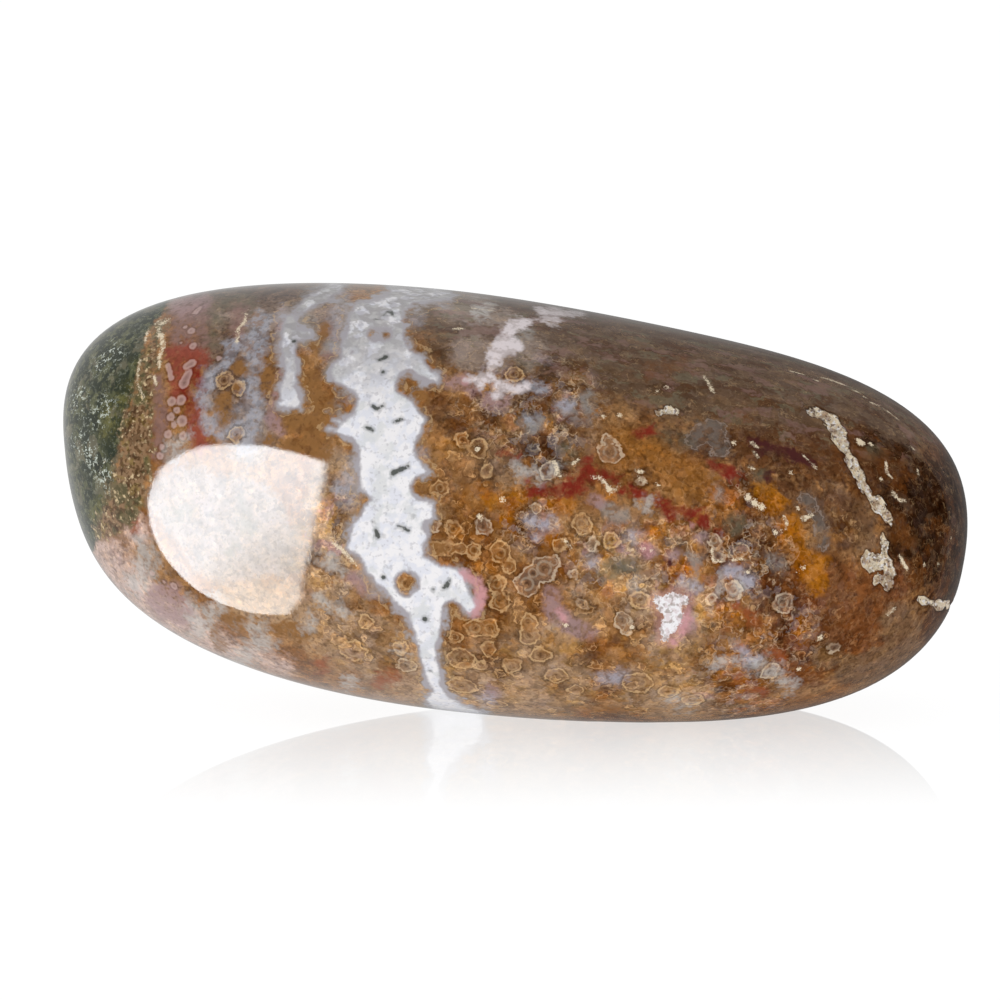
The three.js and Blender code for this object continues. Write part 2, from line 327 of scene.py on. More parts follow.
# Pale pink rings in the red zone, each with a duller middle.
PINK_BLOBS = [
    [(192, 363, 4.5), (186, 367, 3)], [(189, 373, 3.5), (184, 383, 5.5)], [(168, 365, 2), (171, 378, 3)],
    [(172, 401, 5)], [(181, 400, 5.5)], [(177, 410, 3.5)], [(171, 417, 4)], [(182, 421, 5.5)],
    [(174, 425, 3)], [(168, 434, 4)], [(162, 447, 3)], [(160, 456, 3.5)], [(191, 331, 4)], [(193, 346, 4)],
    [(181, 343, 1.5)], [(185, 327, 2)], [(219, 358, 3)], [(174, 586, 4)], [(164, 582, 2.5)], [(152, 573, 3)],
    [(200, 308, 3), (194, 314, 3)], [(183, 436, 4)],
]  # fmt: skip

# Orbs: centre and radius of each ring.
TAN_ORBS = [
    (453, 529, 7), (436, 549, 6.5), (448, 548, 6.5), (461, 549, 6), (474, 550, 7), (500, 553, 9),
    (509, 566, 6), (497, 584, 8), (500, 602, 9.5), (475, 628, 9), (490, 628, 8.5), (528, 622, 8),
    (529, 635, 9), (461, 659, 13), (489, 649, 7), (481, 665, 6), (455, 637, 6), (462, 686, 13),
    (512, 666, 9), (353, 651, 13), (407, 584, 10), (497, 704, 9), (540, 655, 9), (556, 676, 10),
    (637, 683, 14), (612, 540, 7), (487, 470, 6), (463, 440, 7), (400, 648, 7), (365, 622, 7),
    (640, 600, 8), (560, 545, 6), (575, 690, 7), (224, 380, 8), (236, 434, 7),
    (514, 374, 8), (440, 488, 7), (582, 524, 9), (478, 448, 8), (238, 388, 6), (668, 692, 9), (692, 700, 10),
]  # fmt: skip
PALE_ORBS = [
    (483, 526, 8), (592, 545, 6.5), (527, 584, 11), (533, 573, 8), (544, 568, 12), (554, 562, 6),
    (574, 573, 3.5), (623, 621, 8), (626, 630, 5), (610, 452, 11), (608, 441, 6), (583, 604, 5),
    (834, 648, 6), (536, 508, 4), (714, 540, 6), (718, 556, 7), (712, 598, 5), (734, 590, 8),
    (770, 672, 9), (641, 482, 4), (783, 602, 9), (548, 470, 8), (406, 666, 8), (420, 609, 7), (434, 525, 5),
]  # fmt: skip

# Dark, branching specks in the white.
DENDRITES = [
    [(376, 319, 1.4), (384, 317, 1.6), (390, 311, 2.6), (393, 317, 1.6)], [(379, 360, 1.6), (386, 357, 2.6)],
    [(383, 372, 2)], [(372, 405, 1.2), (377, 409, 2.2), (384, 405, 1.2)], [(394, 422, 1.2), (401, 419, 2)],
    [(366, 427, 2), (373, 430, 1.4)], [(393, 473, 2.6), (408, 466, 1.8)], [(375, 529, 1.2), (378, 536, 2.8)],
    [(373, 522, 1.4)], [(398, 526, 1.4), (402, 527, 1.4), (409, 531, 1.6)], [(384, 536, 1)],
    [(450, 580, 1.2), (447, 585, 2.8), (443, 588, 1.8)], [(433, 590, 1.8)], [(425, 619, 2.6)],
    [(383, 577, 2.4)], [(430, 671, 1.4)], [(294, 341, 2.4)], [(420, 642, 1.2)], [(413, 516, 1)],
]  # fmt: skip

# Thin cream lines.
CREAM_LINES = [
    [(171, 312, 0.8), (156, 323, 1.3), (147, 331, 1.6), (145, 345, 1.4)],
    [(140, 358, 0.8), (138, 372, 0.9), (138, 385, 0.9), (144, 397, 1)],
    [(168, 320, 2), (160, 327, 3.2), (161, 337, 3), (164, 346, 2.4), (160, 356, 2), (159, 368, 1.6)],
    [(154, 376, 1.6), (156, 384, 1.4)], [(247, 309, 1.4), (245, 322, 1.4), (238, 329, 1.6), (237, 342, 1.6)],
    [(780, 370, 1.6), (793, 372, 2.4), (806, 376, 3.4), (817, 380, 3.4)],
    [(822, 377, 2.6), (838, 382, 4), (850, 388, 3)],
    [(850, 388, 2.2), (862, 395, 3.2), (872, 403, 2), (884, 409, 2.8), (898, 420, 2)],
    [(871, 415, 1.4), (880, 420, 2.2), (884, 424, 1.6)], [(903, 437, 1.6), (909, 447, 2), (917, 452, 1.4)],
    [(924, 460, 1), (931, 467, 1.4)], [(918, 470, 1.4), (918, 479, 1.6), (922, 492, 1.6), (923, 504, 2.2)],
    [(923, 504, 2.2), (921, 513, 1.6)], [(893, 493, 2), (899, 500, 1.4), (905, 501, 1.2)],
    [(886, 463, 2), (887, 472, 1.6), (892, 478, 1)], [(922, 558, 1.2), (925, 567, 1.6), (926, 574, 1.2)],
    [(899, 556, 1.4), (904, 564, 1.6), (907, 569, 1.4)], [(938, 562, 1), (941, 575, 1.4)],
    [(704, 376, 1.4), (710, 386, 2), (713, 392, 1.6)], [(454, 329, 1.2), (466, 328, 1.8)],
    [(470, 308, 1), (492, 311, 1.6)], [(604, 322, 1), (616, 325, 0.8)], [(670, 350, 0.8), (676, 351, 1)],
    [(803, 519, 2.4), (812, 515, 1.8)], [(784, 517, 1.6), (787, 522, 1.4), (786, 528, 1.6)],
    [(332, 542, 1.4), (340, 548, 2), (348, 556, 1.6)], [(351, 559, 1.4), (356, 565, 1)],
    [(592, 477, 1.4), (600, 478, 1.8), (606, 484, 1.6), (610, 491, 2.4), (617, 489, 1.4), (620, 484, 1)],
    [(636, 471, 1.6), (643, 472, 1.8)], [(638, 478, 1.2), (645, 482, 1.6)], [(573, 464, 1.2), (579, 459, 1)],
    [(712, 550, 1.2), (713, 560, 1.2), (722, 562, 1)], [(733, 560, 1), (743, 559, 1.4)],
    [(752, 443, 1.6), (757, 447, 1.4)], [(754, 452, 1.2), (759, 458, 1)], [(748, 466, 1.2), (754, 469, 1)],
    [(888, 614, 2), (895, 609, 1.8)], [(565, 540, 1.4), (571, 548, 1.2)], [(554, 462, 1.6), (559, 476, 1.8)],
    [(909, 657, 1.6), (916, 642, 1.4)], [(824, 709, 2), (842, 705, 1.4)], [(803, 455, 0.8), (816, 468, 1)],
]  # fmt: skip

# Bright cream spots.
CREAM_SPOTS = [
    (502, 500, 3), (480, 517, 2), (604, 417, 2), (620, 415, 2), (657, 391, 1.6), (667, 387, 1.6),
    (748, 498, 3.4), (755, 503, 3), (761, 507, 3.4), (775, 532, 2.4), (782, 530, 1.8), (798, 508, 2),
    (734, 443, 2), (791, 473, 2.2), (658, 485, 1.8), (798, 571, 1.6), (803, 568, 1.8), (820, 638, 2.6),
    (643, 549, 2.2), (651, 551, 1.6), (565, 625, 2), (860, 442, 4.4), (871, 444, 2.4), (881, 479, 2),
    (103, 461, 2), (96, 467, 2.4), (80, 445, 2.4), (90, 405, 1.8), (799, 669, 2), (477, 449, 2.2),
    (632, 627, 2), (951, 538, 1.6), (936, 463, 1.4), (747, 572, 1.8),
]  # fmt: skip

# The granular white vug in the orb field.
VUG = [
    [(660, 601, 5), (672, 598, 6), (684, 600, 5)],
    [(668, 606, 10), (674, 614, 9), (668, 627, 8), (664, 639, 3)],
]

# Where tumbling broke the skin open: what the cream mineral fills.
OPEN_PLACES = [
    [(811, 412, 4), (819, 413, 6), (828, 417, 9), (833, 426, 9.5), (838, 436, 8.5), (844, 448, 6.5),
     (849, 458, 5.5), (855, 469, 6), (861, 480, 6), (866, 489, 5), (870, 496, 3.5)],
    [(870, 496, 3.5), (877, 503, 7), (883, 511, 6), (888, 519, 4), (892, 526, 2)],
    [(865, 560, 8), (873, 563, 9), (881, 565, 7), (887, 563, 7), (891, 576, 7), (888, 588, 5.5)],
    [(884, 537, 2), (886, 550, 3), (888, 562, 5)], [(879, 578, 6), (886, 580, 7)],
    [(913, 602, 3.5), (921, 599, 3.5), (929, 604, 3), (938, 605, 5), (948, 606, 5), (960, 606, 3)],
    [(660, 411, 4), (668, 409, 4), (676, 413, 4), (680, 417, 2)],
]  # fmt: skip

# The grassy end, up to its seam, what speckles the seam, and where the green glitters.
MOSS_END = [
    (178, 290), (158, 318), (147, 334), (142, 350), (138, 372), (136, 392), (128, 410), (122, 440),
    (116, 470), (110, 500), (100, 530), (92, 560), (60, 620), (0, 640), (0, 240), (180, 240),
]  # fmt: skip
GOLD_SEAM = [
    (168, 318), (160, 340), (158, 362), (153, 385), (153, 412), (152, 440), (150, 470), (146, 500),
    (138, 518), (126, 532), (104, 540), (92, 530), (102, 500), (112, 470),
    (120, 440), (126, 410), (134, 392), (138, 372), (143, 350), (150, 332), (160, 318),
]  # fmt: skip
SILVER = [
    [(78, 392, 7), (82, 410, 9)], [(78, 440, 8), (92, 458, 10), (102, 472, 9), (112, 486, 8)],
    [(100, 366, 8), (116, 350, 8)], [(106, 404, 8), (96, 420, 8)],
]  # fmt: skip
OLIVE_CLUMPS = [
    [(112, 420, 12), (120, 402, 10)], [(108, 436, 9)], [(104, 500, 9), (96, 515, 9)], [(134, 360, 5)],
    [(128, 384, 7)],
]  # fmt: skip

# How strongly each kind of fine pattern shows, as soft strokes.
ORB_FIELD = [
    [(460, 430, 30), (470, 520, 40), (480, 600, 50), (470, 680, 50)],
    [(540, 560, 50), (600, 600, 60), (600, 680, 60)], [(680, 640, 60), (740, 600, 50)],
    [(350, 620, 30), (380, 670, 30)], [(330, 540, 20)], [(820, 640, 30)], [(840, 520, 20)],
]  # fmt: skip
BUSY_FIELD = [
    [(490, 400, 20), (540, 430, 40), (560, 400, 30)], [(600, 560, 30), (700, 570, 50), (750, 560, 40)],
    [(740, 680, 36), (780, 620, 30)], [(736, 500, 16)],
    [(330, 500, 20), (325, 560, 20)], [(530, 520, 24)],
]  # fmt: skip
# The top of the face, where a painted shade makes everything greyer and darker.
TOP_SHADE = [[(200, 278, 14), (300, 276, 22), (400, 262, 13), (500, 274, 18), (600, 294, 17)]]

# The bright soft box, as the stone's skin throws it back to the camera, and where it fades.
GLINT = [
    (325, 462), (323, 480), (316, 520), (309, 560), (301, 598), (290, 614), (270, 616), (248, 612),
    (222, 603), (198, 590), (176, 571), (160, 549), (150, 525), (148, 502), (153, 482), (164, 466),
    (180, 454), (202, 447), (230, 444), (262, 446), (292, 451),
]  # fmt: skip
GLINT_MIDDLE = (225, 520)
GLINT_BRIGHT = (205, 500)
GLINT_DIM = (312, 556)

# Which fields are drawn and run on through the stone, and which lie on the front alone.
DRAWN_OUTLINES = {"moss_end": MOSS_END, "gold_seam": GOLD_SEAM}
DRAWN_STROKES = {
    "silver": SILVER,
    "olive_clumps": OLIVE_CLUMPS,
    "orb_field": ORB_FIELD,
    "busy_field": BUSY_FIELD,
    "top_shade": TOP_SHADE,
}
FRONT_STROKES = {
    "vug": VUG,
    "pink_blobs": PINK_BLOBS,
    "dendrites": DENDRITES,
    "cream_spots": [[spot] for spot in CREAM_SPOTS],
    "cream_lines": CREAM_LINES,
}
FRONT_ORBS = {"tan_orb": TAN_ORBS, "pale_orb": PALE_ORBS}

# How the drawing wanders on its way through the stone, along it and upwards: millimetres, waves for
# each millimetre of x and of z (times two pi), and phase. It sets in between two depths.
WANDER_ALONG = ((3.2, 0.0, 0.30, 0.7), (1.6, 0.55, 0.4, 0.0))
WANDER_UP = ((2.2, 0.23, 0.0, 1.1), (1.2, 0.35, 0.5, 0.0))
WANDER_DEPTHS = (-2, 13)

# ---- Textures, hues and finish ---------------------------------------------------------------

# How big the lumps of each soft noise are, and how far apart the cells lie, in millimetres.
BROAD = 2.6
STAINS = 1.3
LUMPS = 0.6
CRUMBS = 0.23
GRIT = 0.085
ORB_CELLS = 0.95
BEAD_CELLS = 0.5
STREAKS = 0.85

# What the ground is multiplied by, so that dark ground stays dark.
HUES = {
    "golden": (1.08, 0.97, 0.6),
    "cool": (0.95, 1.05, 1.3),
    "burnt": (0.64, 0.54, 0.46),
    "violet": (1.1, 1.0, 1.4),
    "milky": (1.4, 1.42, 1.5),
    "orb_golden": (1.12, 1.0, 0.74),
    "orb_dark": (0.75, 0.7, 0.66),
    "orb_pale": (1.2, 1.22, 1.25),
    "fine_line": (1.62, 1.56, 1.4),
    "pale_crumb": (1.16, 1.14, 1.1),
    "pale_lump": (1.25, 1.22, 1.15),
    "dark_streak": (0.76, 0.7, 0.66),
    "pale_streak": (1.24, 1.22, 1.2),
    "black_stain": (0.62, 0.56, 0.5),
    "seam_green": (1.0, 1.1, 0.8),
}
SHADE_HUE = (1.0, 1.08, 1.15)  # how much of a shade each channel takes: shade is a little warm

# How far lumps and crumbs push an uneven edge, for each millimetre that it's ragged by, and about how
# far from a cell's middle the orbs' texture is on average, in millimetres.
BY_LUMPS = 2.4
BY_CRUMBS = 1.6
ORB_MIDDLE = 0.34

# The flow lines of the veil lean by this, and are drawn out along the stone.
FLOW_LEAN = math.radians(-20)
FLOW_STRETCH = (0.42, 1, 0.9)

POLISHED = 0.025  # roughness
UNPOLISHED = 0.75
QUARTZ_IOR = 1.54
GRAIN_HEIGHT = 0.08 * MM
GRAIN_IN_POLISH = 0.012  # share of the grain's height that the polish leaves

# The open places: how the edge wanders, how fine the mineral's grain is, and how it sinks.
EDGE_REACH = 0.3  # millimetres outside a place where its edge may still wander to
EDGE_WANDER = 0.3
EDGE_WAVES = 1.7
GRAIN_WANDER = 0.26
GRAIN_WAVES = (4.0, 9.0)
SUNK_BETWEEN = (-0.02, 0.28)
SUNK_LEAST = 0.75
SUNK_BY_GRAIN = 0.9

# ---- The studio's fixed things ---------------------------------------------------------------

NEAR_CLIP = 10 * MM
WHITE = (1, 1, 1, 1)
FLOOR_GREY = (0.15, 0.15, 0.15, 1)
MIRROR_SQUASH = (0.35, 1.0, 0.0)  # the mirror reaches furthest along the stone
MIRROR_FADE = (2 * MM, 38 * MM)
GLINT_REACH = 0.5  # metres from the stone to the soft box
GLINT_SLANT = 0.2  # a corner that is thrown more aslant than this is drawn in
GLINT_FALL = (0.2, 1.1)  # of the way from bright to dim, where the light falls off
GLINT_DIM_SHARE = 0.62
GLINT_COOL = (0.91, 0.95, 1, 1)
GLINT_WARM = (0.93, 0.93, 0.91, 1)
FOLD_WAVES = (90, 90, 4)
FOLD_FADE = (0.35, 0.65, 0.9, 1.05)
KEY_SIZE = 0.3
KEY_PLACE = (-0.25, -0.35, 0.4)
KEY_HUE = (1, 0.985, 0.96)
BACKDROP = 1.05  # how bright the surround is to the camera

# The room that the polish mirrors. Directions run from -1 to 1: x across, y behind the stone, z up.
ROOM_EDGE = (0.35, 0.25)  # the white begins this far behind: slope along x, and value at its middle
ROOM_SOFT = (-0.2, 0.3, 0.4, 0.03)  # between two x, from how soft to how sharp that edge is
ROOM_LEAN = -0.133  # how the lit left side leans
ROOM_LEFT = (-0.08, 0.12, 0.42, 0.0)  # between two x, what the left side adds
ROOM_WHITE = (-0.6, -0.15, 0.35, 0.13)  # between two x, how bright the white is


# ---- Colours and sizes that a user may change ------------------------------------------------


def linear(red, green, blue):
    """A colour given in 0 to 255, as the linear values that shaders use."""
    def one(value):
        share = value / 255
        return share / 12.92 if share <= 0.04045 else ((share + 0.055) / 1.055) ** 2.4

    return (one(red), one(green), one(blue))


def colour(name, description, red, green, blue):
    return FloatVectorProperty(
        name=name, description=description, subtype="COLOR", size=3, min=0, max=1,
        default=linear(red, green, blue),
    )  # fmt: skip


def length(name, description, millimetres):
    return FloatProperty(name=name, description=description, default=millimetres * MM, unit="LENGTH")


def number(name, description, value):
    return FloatProperty(name=name, description=description, default=value)


class JasperForm(bpy.types.PropertyGroup):
    semi_length: length("Half length", "Half of the long axis", 26.2)
    semi_height: length("Half height", "Half of the upright axis", 11.9)
    semi_depth: length("Half depth", "Half of the axis from front to back", 12.8)
    tilt: FloatProperty(
        name="Tilt", description="The long axis dips towards +X by this", subtype="ANGLE",
        default=math.radians(-7.5),
    )  # fmt: skip
    squareness: number("Squareness", "2 is an ellipsoid, more is a fuller pebble", 2.2)
    foot_wear: length("Foot wear", "How much is worn off underneath, at the deepest", 0.4)
    thicker_at_dark_end: number("Thicker end", "Share of depth gained at +X and lost at -X", 0.2)
    low_belly: number("Low belly", "Share of depth gained at the underside and lost at the top", 0.08)
    flat_cheek: number("Flat cheek", "A soft flat on the front face", 0.03)
    cells: IntVectorProperty(
        name="Cells", description="Cells of the net along X, Y and Z", default=(132, 46, 56), size=3
    )
    front_cuts: IntProperty(name="Front cuts", description="Extra cuts in the front's cells", default=2)
    front_spread: number("Front spread", "How far the net's front reaches round the stone", 0.25)
    hollow: length("Hollow depth", "How deep the open places are", 0.3)


class JasperColours(bpy.types.PropertyGroup):
    ochre: colour("Ochre", "Ground colour of the orb field", 152, 112, 72)
    sienna: colour("Sienna", "Darker ground colour", 134, 90, 50)
    veil_brown: colour("Veil brown", "The upper right of the face", 96, 75, 58)
    walnut: colour("Walnut", "Dark brown before the dark end", 86, 54, 32)
    umber: colour("Umber", "The dark end", 56, 33, 18)
    russet: colour("Russet", "Warm brown of the lower right", 110, 64, 34)
    tan: colour("Tan", "The patch before the dark end", 118, 88, 63)
    slate: colour("Slate", "Grey brown patches", 106, 98, 92)
    mustard: colour("Mustard", "The golden zone", 140, 92, 42)
    amber: colour("Amber", "Bright orange patches", 168, 104, 20)
    dusty_tan: colour("Dusty tan", "The tangle in the middle", 126, 96, 70)
    pale_tan: colour("Pale tan", "The light middle of the orb field", 174, 145, 116)
    greige: colour("Greige", "Grey pink mottling", 142, 126, 116)
    olive_grey: colour("Olive grey", "Dull green patches", 112, 106, 86)
    stone_grey: colour("Stone grey", "Grey patches", 142, 138, 134)
    dusk: colour("Dusk", "Dull mauve brown", 132, 102, 94)
    mauve: colour("Mauve", "Dusky pink patches", 154, 126, 126)
    brick: colour("Brick", "The red zone near the grassy end", 140, 70, 56)
    blood_red: colour("Blood red", "Dark red streaks", 118, 38, 28)
    maroon: colour("Maroon", "Nearly black red", 70, 34, 34)
    ember: colour("Ember", "Glowing brown in the dark end", 106, 62, 26)
    rose_tan: colour("Rose tan", "Under the grassy end", 192, 166, 156)
    rust: colour("Rust", "Red brown flecks", 142, 76, 42)
    orange_brown: colour("Orange brown", "Between the pale bands", 134, 95, 56)
    olive: colour("Olive", "Yellow green in the grassy end", 104, 100, 56)
    chalcedony: colour("Chalcedony", "Blue grey fringes", 160, 163, 174)
    mist: colour("Mist", "Soft blue smudges in the orb field", 174, 174, 188)
    ash: colour("Ash", "Pale grey patches and rims", 190, 186, 182)
    pink: colour("Pink", "Pink rims", 198, 146, 150)
    pale_vein: colour("Pale vein", "The small forked vein", 218, 208, 210)
    white: colour("White", "The pale band", 232, 230, 232)
    white_blue: colour("Blue white", "Cool patches in the pale band", 218, 219, 227)
    white_grey: colour("Grey white", "Dull patches in the pale band", 202, 204, 204)
    halo: colour("Halo", "The grey border of the pale bands", 166, 163, 170)
    halo_warm: colour("Warm halo", "Where that border meets the brown", 148, 136, 126)
    blob_pink: colour("Blob pink", "Rings in the red zone", 190, 162, 156)
    ring_tan: colour("Ring tan", "The orbs' rings", 204, 172, 128)
    ring_pale: colour("Ring pale", "The palest orbs' rings", 204, 190, 168)
    cream: colour("Cream", "Lines, spots and the fill of the fissures", 228, 212, 184)
    dendrite: colour("Dendrite", "Dark specks in the white", 64, 68, 62)
    moss: colour("Moss", "The grassy end", 84, 86, 60)
    moss_dark: colour("Dark moss", "The darkest green", 40, 46, 32)
    gold: colour("Gold", "The speckled seam by the moss", 136, 110, 84)
    gold_speck: colour("Gold speck", "Its bright grains", 214, 190, 150)
    silver: colour("Silver", "What glitters in the moss", 200, 208, 198)


class JasperStudio(bpy.types.PropertyGroup):
    elevation: FloatProperty(
        name="Elevation", description="Camera's height above the horizon", subtype="ANGLE",
        default=math.radians(7),
    )  # fmt: skip
    distance: length("Distance", "From the camera to what it looks at", 308)
    lens: FloatProperty(name="Lens", description="Focal length", default=200 * MM, unit="LENGTH")
    aim: FloatVectorProperty(
        name="Aim", description="What the camera looks at", size=3, unit="LENGTH",
        default=(-0.86 * MM, 0, 11.72 * MM),
    )  # fmt: skip
    floor_size: length("Floor size", "Side of the floor", 4000)
    ambient: number("Ambient", "Strength of the soft light from all round", 0.86)
    table: number("Light table", "How brightly the floor glows", 0.9)
    bounce: number("Bounce", "How brightly it glows for the stone", 1.3)
    key: number("Key", "Power of the key light, in watts", 0.25)
    glint: number("Glint", "Brightness of the soft box that shows in the polish", 16.0)
    rim: number("Rim", "Brightness of the surround that shows at the edges", 1.0)
    mirror: number("Mirror", "How much the floor mirrors the stone", 0.31)


# ---- The camera ------------------------------------------------------------------------------


class Viewpoint:
    """Where the camera stands, and the way between pixels of its image and points in the frame."""

    def __init__(self, studio):
        lift = studio.elevation
        self.back = Vector((0, -math.cos(lift), math.sin(lift)))
        self.up = Vector((0, math.sin(lift), math.cos(lift)))
        self.right = Vector((1, 0, 0))
        self.place = Vector(studio.aim) + self.back * studio.distance
        self.zoom = studio.lens / SENSOR * IMAGE

    def pixels(self, points):
        """Where the points show in the image."""
        from_camera = points - np.array(self.place)
        depth = -(from_camera @ np.array(self.back))
        across = from_camera @ np.array(self.right) / depth * self.zoom
        upward = from_camera @ np.array(self.up) / depth * self.zoom
        return np.stack([IMAGE / 2 + across, IMAGE / 2 - upward], axis=1)

    def ray(self, x, y):
        """The direction from the camera through a pixel."""
        across = self.right * ((x - IMAGE / 2) / self.zoom)
        upward = self.up * ((IMAGE / 2 - y) / self.zoom)
        return (across + upward - self.back).normalized()


# ---- The stone's form ------------------------------------------------------------------------


def outline_swell(angle):
    """The smooth closed curve through equally spaced values: how far the outline swells."""
    steps = len(OUTLINE_SWELL)
    total = np.zeros_like(angle)
    for i, value in enumerate(OUTLINE_SWELL):
        away = angle - 2 * math.pi * i / steps
        spread = np.tan(away / 2)
        flat = np.abs(spread) < 1e-9
        part = np.sin(steps * away / 2) / (steps * np.where(flat, 1, spread))
        total += value * np.where(flat, 1, part)
    return total


def pebble_skin(directions, form):
    """The point of the stone's skin in each direction, before it is set down on its foot."""
    power = form.squareness
    size = (np.abs(directions) ** power).sum(axis=1) ** (-1 / power)
    x, y, z = (directions * size[:, None]).T
    outward = (np.abs(x) ** power + np.abs(z) ** power) ** (2 / power)
    swell = 1 + (outline_swell(np.arctan2(z, x)) - 1) * outward
    cheek = np.where(y < 0, form.flat_cheek * y**2, 0)
    depth = form.semi_depth * (1 + form.thicker_at_dark_end * x - form.low_belly * z - cheek)
    along = form.semi_length * swell * x
    upright = form.semi_height * swell * z
    cosine, sine = math.cos(-form.tilt), math.sin(-form.tilt)
    return np.stack(
        [along * cosine + upright * sine, depth * y, upright * cosine - along * sine], axis=1
    )


def cut_along(net, axis, cells):
    """Cuts every edge of the box net that runs along an axis into equal cells."""
    def runs_along(edge):
        low, high = (vert.co for vert in edge.verts)
        return abs(low[axis] - high[axis]) > 0.5

    edges = [edge for edge in net.edges if runs_along(edge)]
    bmesh.ops.subdivide_edges(net, edges=edges, cuts=cells - 1, use_grid_fill=True)


def read_vectors(collection, key, count):
    values = np.empty(count * 3)
    collection.foreach_get(key, values)
    return values.reshape(-1, 3)


def pebble_mesh(form):
    """A closed box net, evened out and blown up into the pebble, then set down on its foot."""
    net = bmesh.new()
    bmesh.ops.create_cube(net, size=2)
    for axis, cells in enumerate(form.cells):
        cut_along(net, axis, cells)
    front = [face for face in net.faces if all(vert.co.y < -0.999 for vert in face.verts)]
    edges = {edge for face in front for edge in face.edges}
    bmesh.ops.subdivide_edges(net, edges=list(edges), cuts=form.front_cuts, use_grid_fill=True)
    bmesh.ops.recalc_face_normals(net, faces=net.faces)
    mesh = bpy.data.meshes.new("tumbled_jasper")
    net.to_mesh(mesh)
    net.free()

    corners = read_vectors(mesh.vertices, "co", len(mesh.vertices))
    directions = np.tan(corners * math.pi / 4)
    directions /= np.linalg.norm(directions, axis=1, keepdims=True)
    directions[:, 1] += form.front_spread
    directions /= np.linalg.norm(directions, axis=1, keepdims=True)
    points = pebble_skin(directions, form)

    lowest, highest = points.min(axis=0), points.max(axis=0)
    middle = (lowest + highest) / 2
    middle[2] = lowest[2] + form.foot_wear
    points -= middle
    points[:, 2] = np.maximum(points[:, 2], 0)
    box_low, box_high = (np.array(corner) for corner in STONE_BOX)
    fit = (box_high - box_low) / (points.max(axis=0) - points.min(axis=0))
    points *= fit
    mesh.vertices.foreach_set("co", points.ravel())
    mesh.polygons.foreach_set("use_smooth", [True] * len(mesh.polygons))
    mesh.update()
    return mesh


# ---- The markings as fields ------------------------------------------------------------------


def smooth_step(values, low, high):
    share = np.clip((values - low) / (high - low), 0, 1)
    return share * share * (3 - 2 * share)


def along_run(places, run):
    """For each leg of a run: how far each place is from it, and its half-width there."""
    run = np.array(run, dtype=float)
    if len(run) == 1:
        run = np.repeat(run, 2, axis=0)
    for start, end in zip(run[:-1], run[1:]):
        leg = end[:-1] - start[:-1]
        reach = max(leg @ leg, 1e-18)
        share = np.clip((places - start[:-1]) @ leg / reach, 0, 1)
        nearest = start[:-1] + share[:, None] * leg
        away = np.linalg.norm(places - nearest, axis=1)
        yield away, start[-1] + share * (end[-1] - start[-1])


def stroke_field(places, runs):
    """How far each place lies inside the strokes, negative outside."""
    field = np.full(len(places), OUTSIDE)
    for run in runs:
        for away, half_width in along_run(places, run):
            field = np.maximum(field, half_width - away)
    return field


def outline_field(places, outline):
    """How far each place lies inside a closed outline, negative outside."""
    corners = np.array(outline, dtype=float)
    nearest = np.full(len(places), np.inf)
    inside = np.zeros(len(places), dtype=bool)
    x, y = places.T
    for start, end in zip(corners, np.roll(corners, -1, axis=0)):
        leg = end - start
        share = np.clip((places - start) @ leg / (leg @ leg), 0, 1)
        away = np.linalg.norm(places - start - share[:, None] * leg, axis=1)
        nearest = np.minimum(nearest, away)
        if start[1] != end[1]:
            crosses = (start[1] > y) != (end[1] > y)
            inside ^= crosses & (x < start[0] + (y - start[1]) * leg[0] / leg[1])
    return np.where(inside, nearest, -nearest)


class Skin:
    """The finished skin: its points, where each shows in the drawing, and how to find a pixel on it."""

    def __init__(self, mesh, viewpoint):
        self.mesh = mesh
        self.viewpoint = viewpoint
        self.points = read_vectors(mesh.vertices, "co", len(mesh.vertices))
        self.drawn = viewpoint.pixels(self.points + self.drift())
        net = bmesh.new()
        net.from_mesh(mesh)
        self.tree = BVHTree.FromBMesh(net)
        net.free()

    def drift(self):
        """How the markings wander on their way through the stone, so that the back is no copy."""
        x, y, z = (self.points / MM).T

        def wander(waves):
            return sum(size * np.sin(by_x * x + by_z * z + phase) for size, by_x, by_z, phase in waves)

        beyond = smooth_step(y, *WANDER_DEPTHS)[:, None]
        wandered = np.stack([wander(WANDER_ALONG), np.zeros_like(x), wander(WANDER_UP)], axis=1)
        return beyond * wandered * MM

    def at(self, x, y):
        """The skin's point and normal that show at a pixel. Past the edge it is the nearest one."""
        start, way = self.viewpoint.place, self.viewpoint.ray(x, y)
        point, normal, _, _ = self.tree.ray_cast(start, way)
        if point is None:
            far = start + way * start.length
            point, normal, _, _ = self.tree.find_nearest(far)
        return point, normal

    def lift(self, runs):
        """Runs drawn in pixels, as runs on the skin: (x, y, z, half-width), all in millimetres."""
        return [
            [(*(self.at(x, y)[0] / MM), half_width * PIXEL_MM) for x, y, half_width in run]
            for run in runs
        ]

    def carry(self, name, values):
        """Stores a field on the mesh."""
        layer = self.mesh.attributes.new(name, "FLOAT", "POINT")
        layer.data.foreach_set("value", np.asarray(values, dtype=np.float32))


def orb_fields(places, orbs):
    """The field of the nearest orb, in millimetres inside its ring, and that over its radius."""
    inside = np.full(len(places), OUTSIDE)
    share = np.full(len(places), OUTSIDE)
    for (x, y, z, radius), in orbs:
        depth = radius - np.linalg.norm(places - (x, y, z), axis=1)
        share = np.where(depth > inside, depth / radius, share)
        inside = np.maximum(inside, depth)
    return inside, share


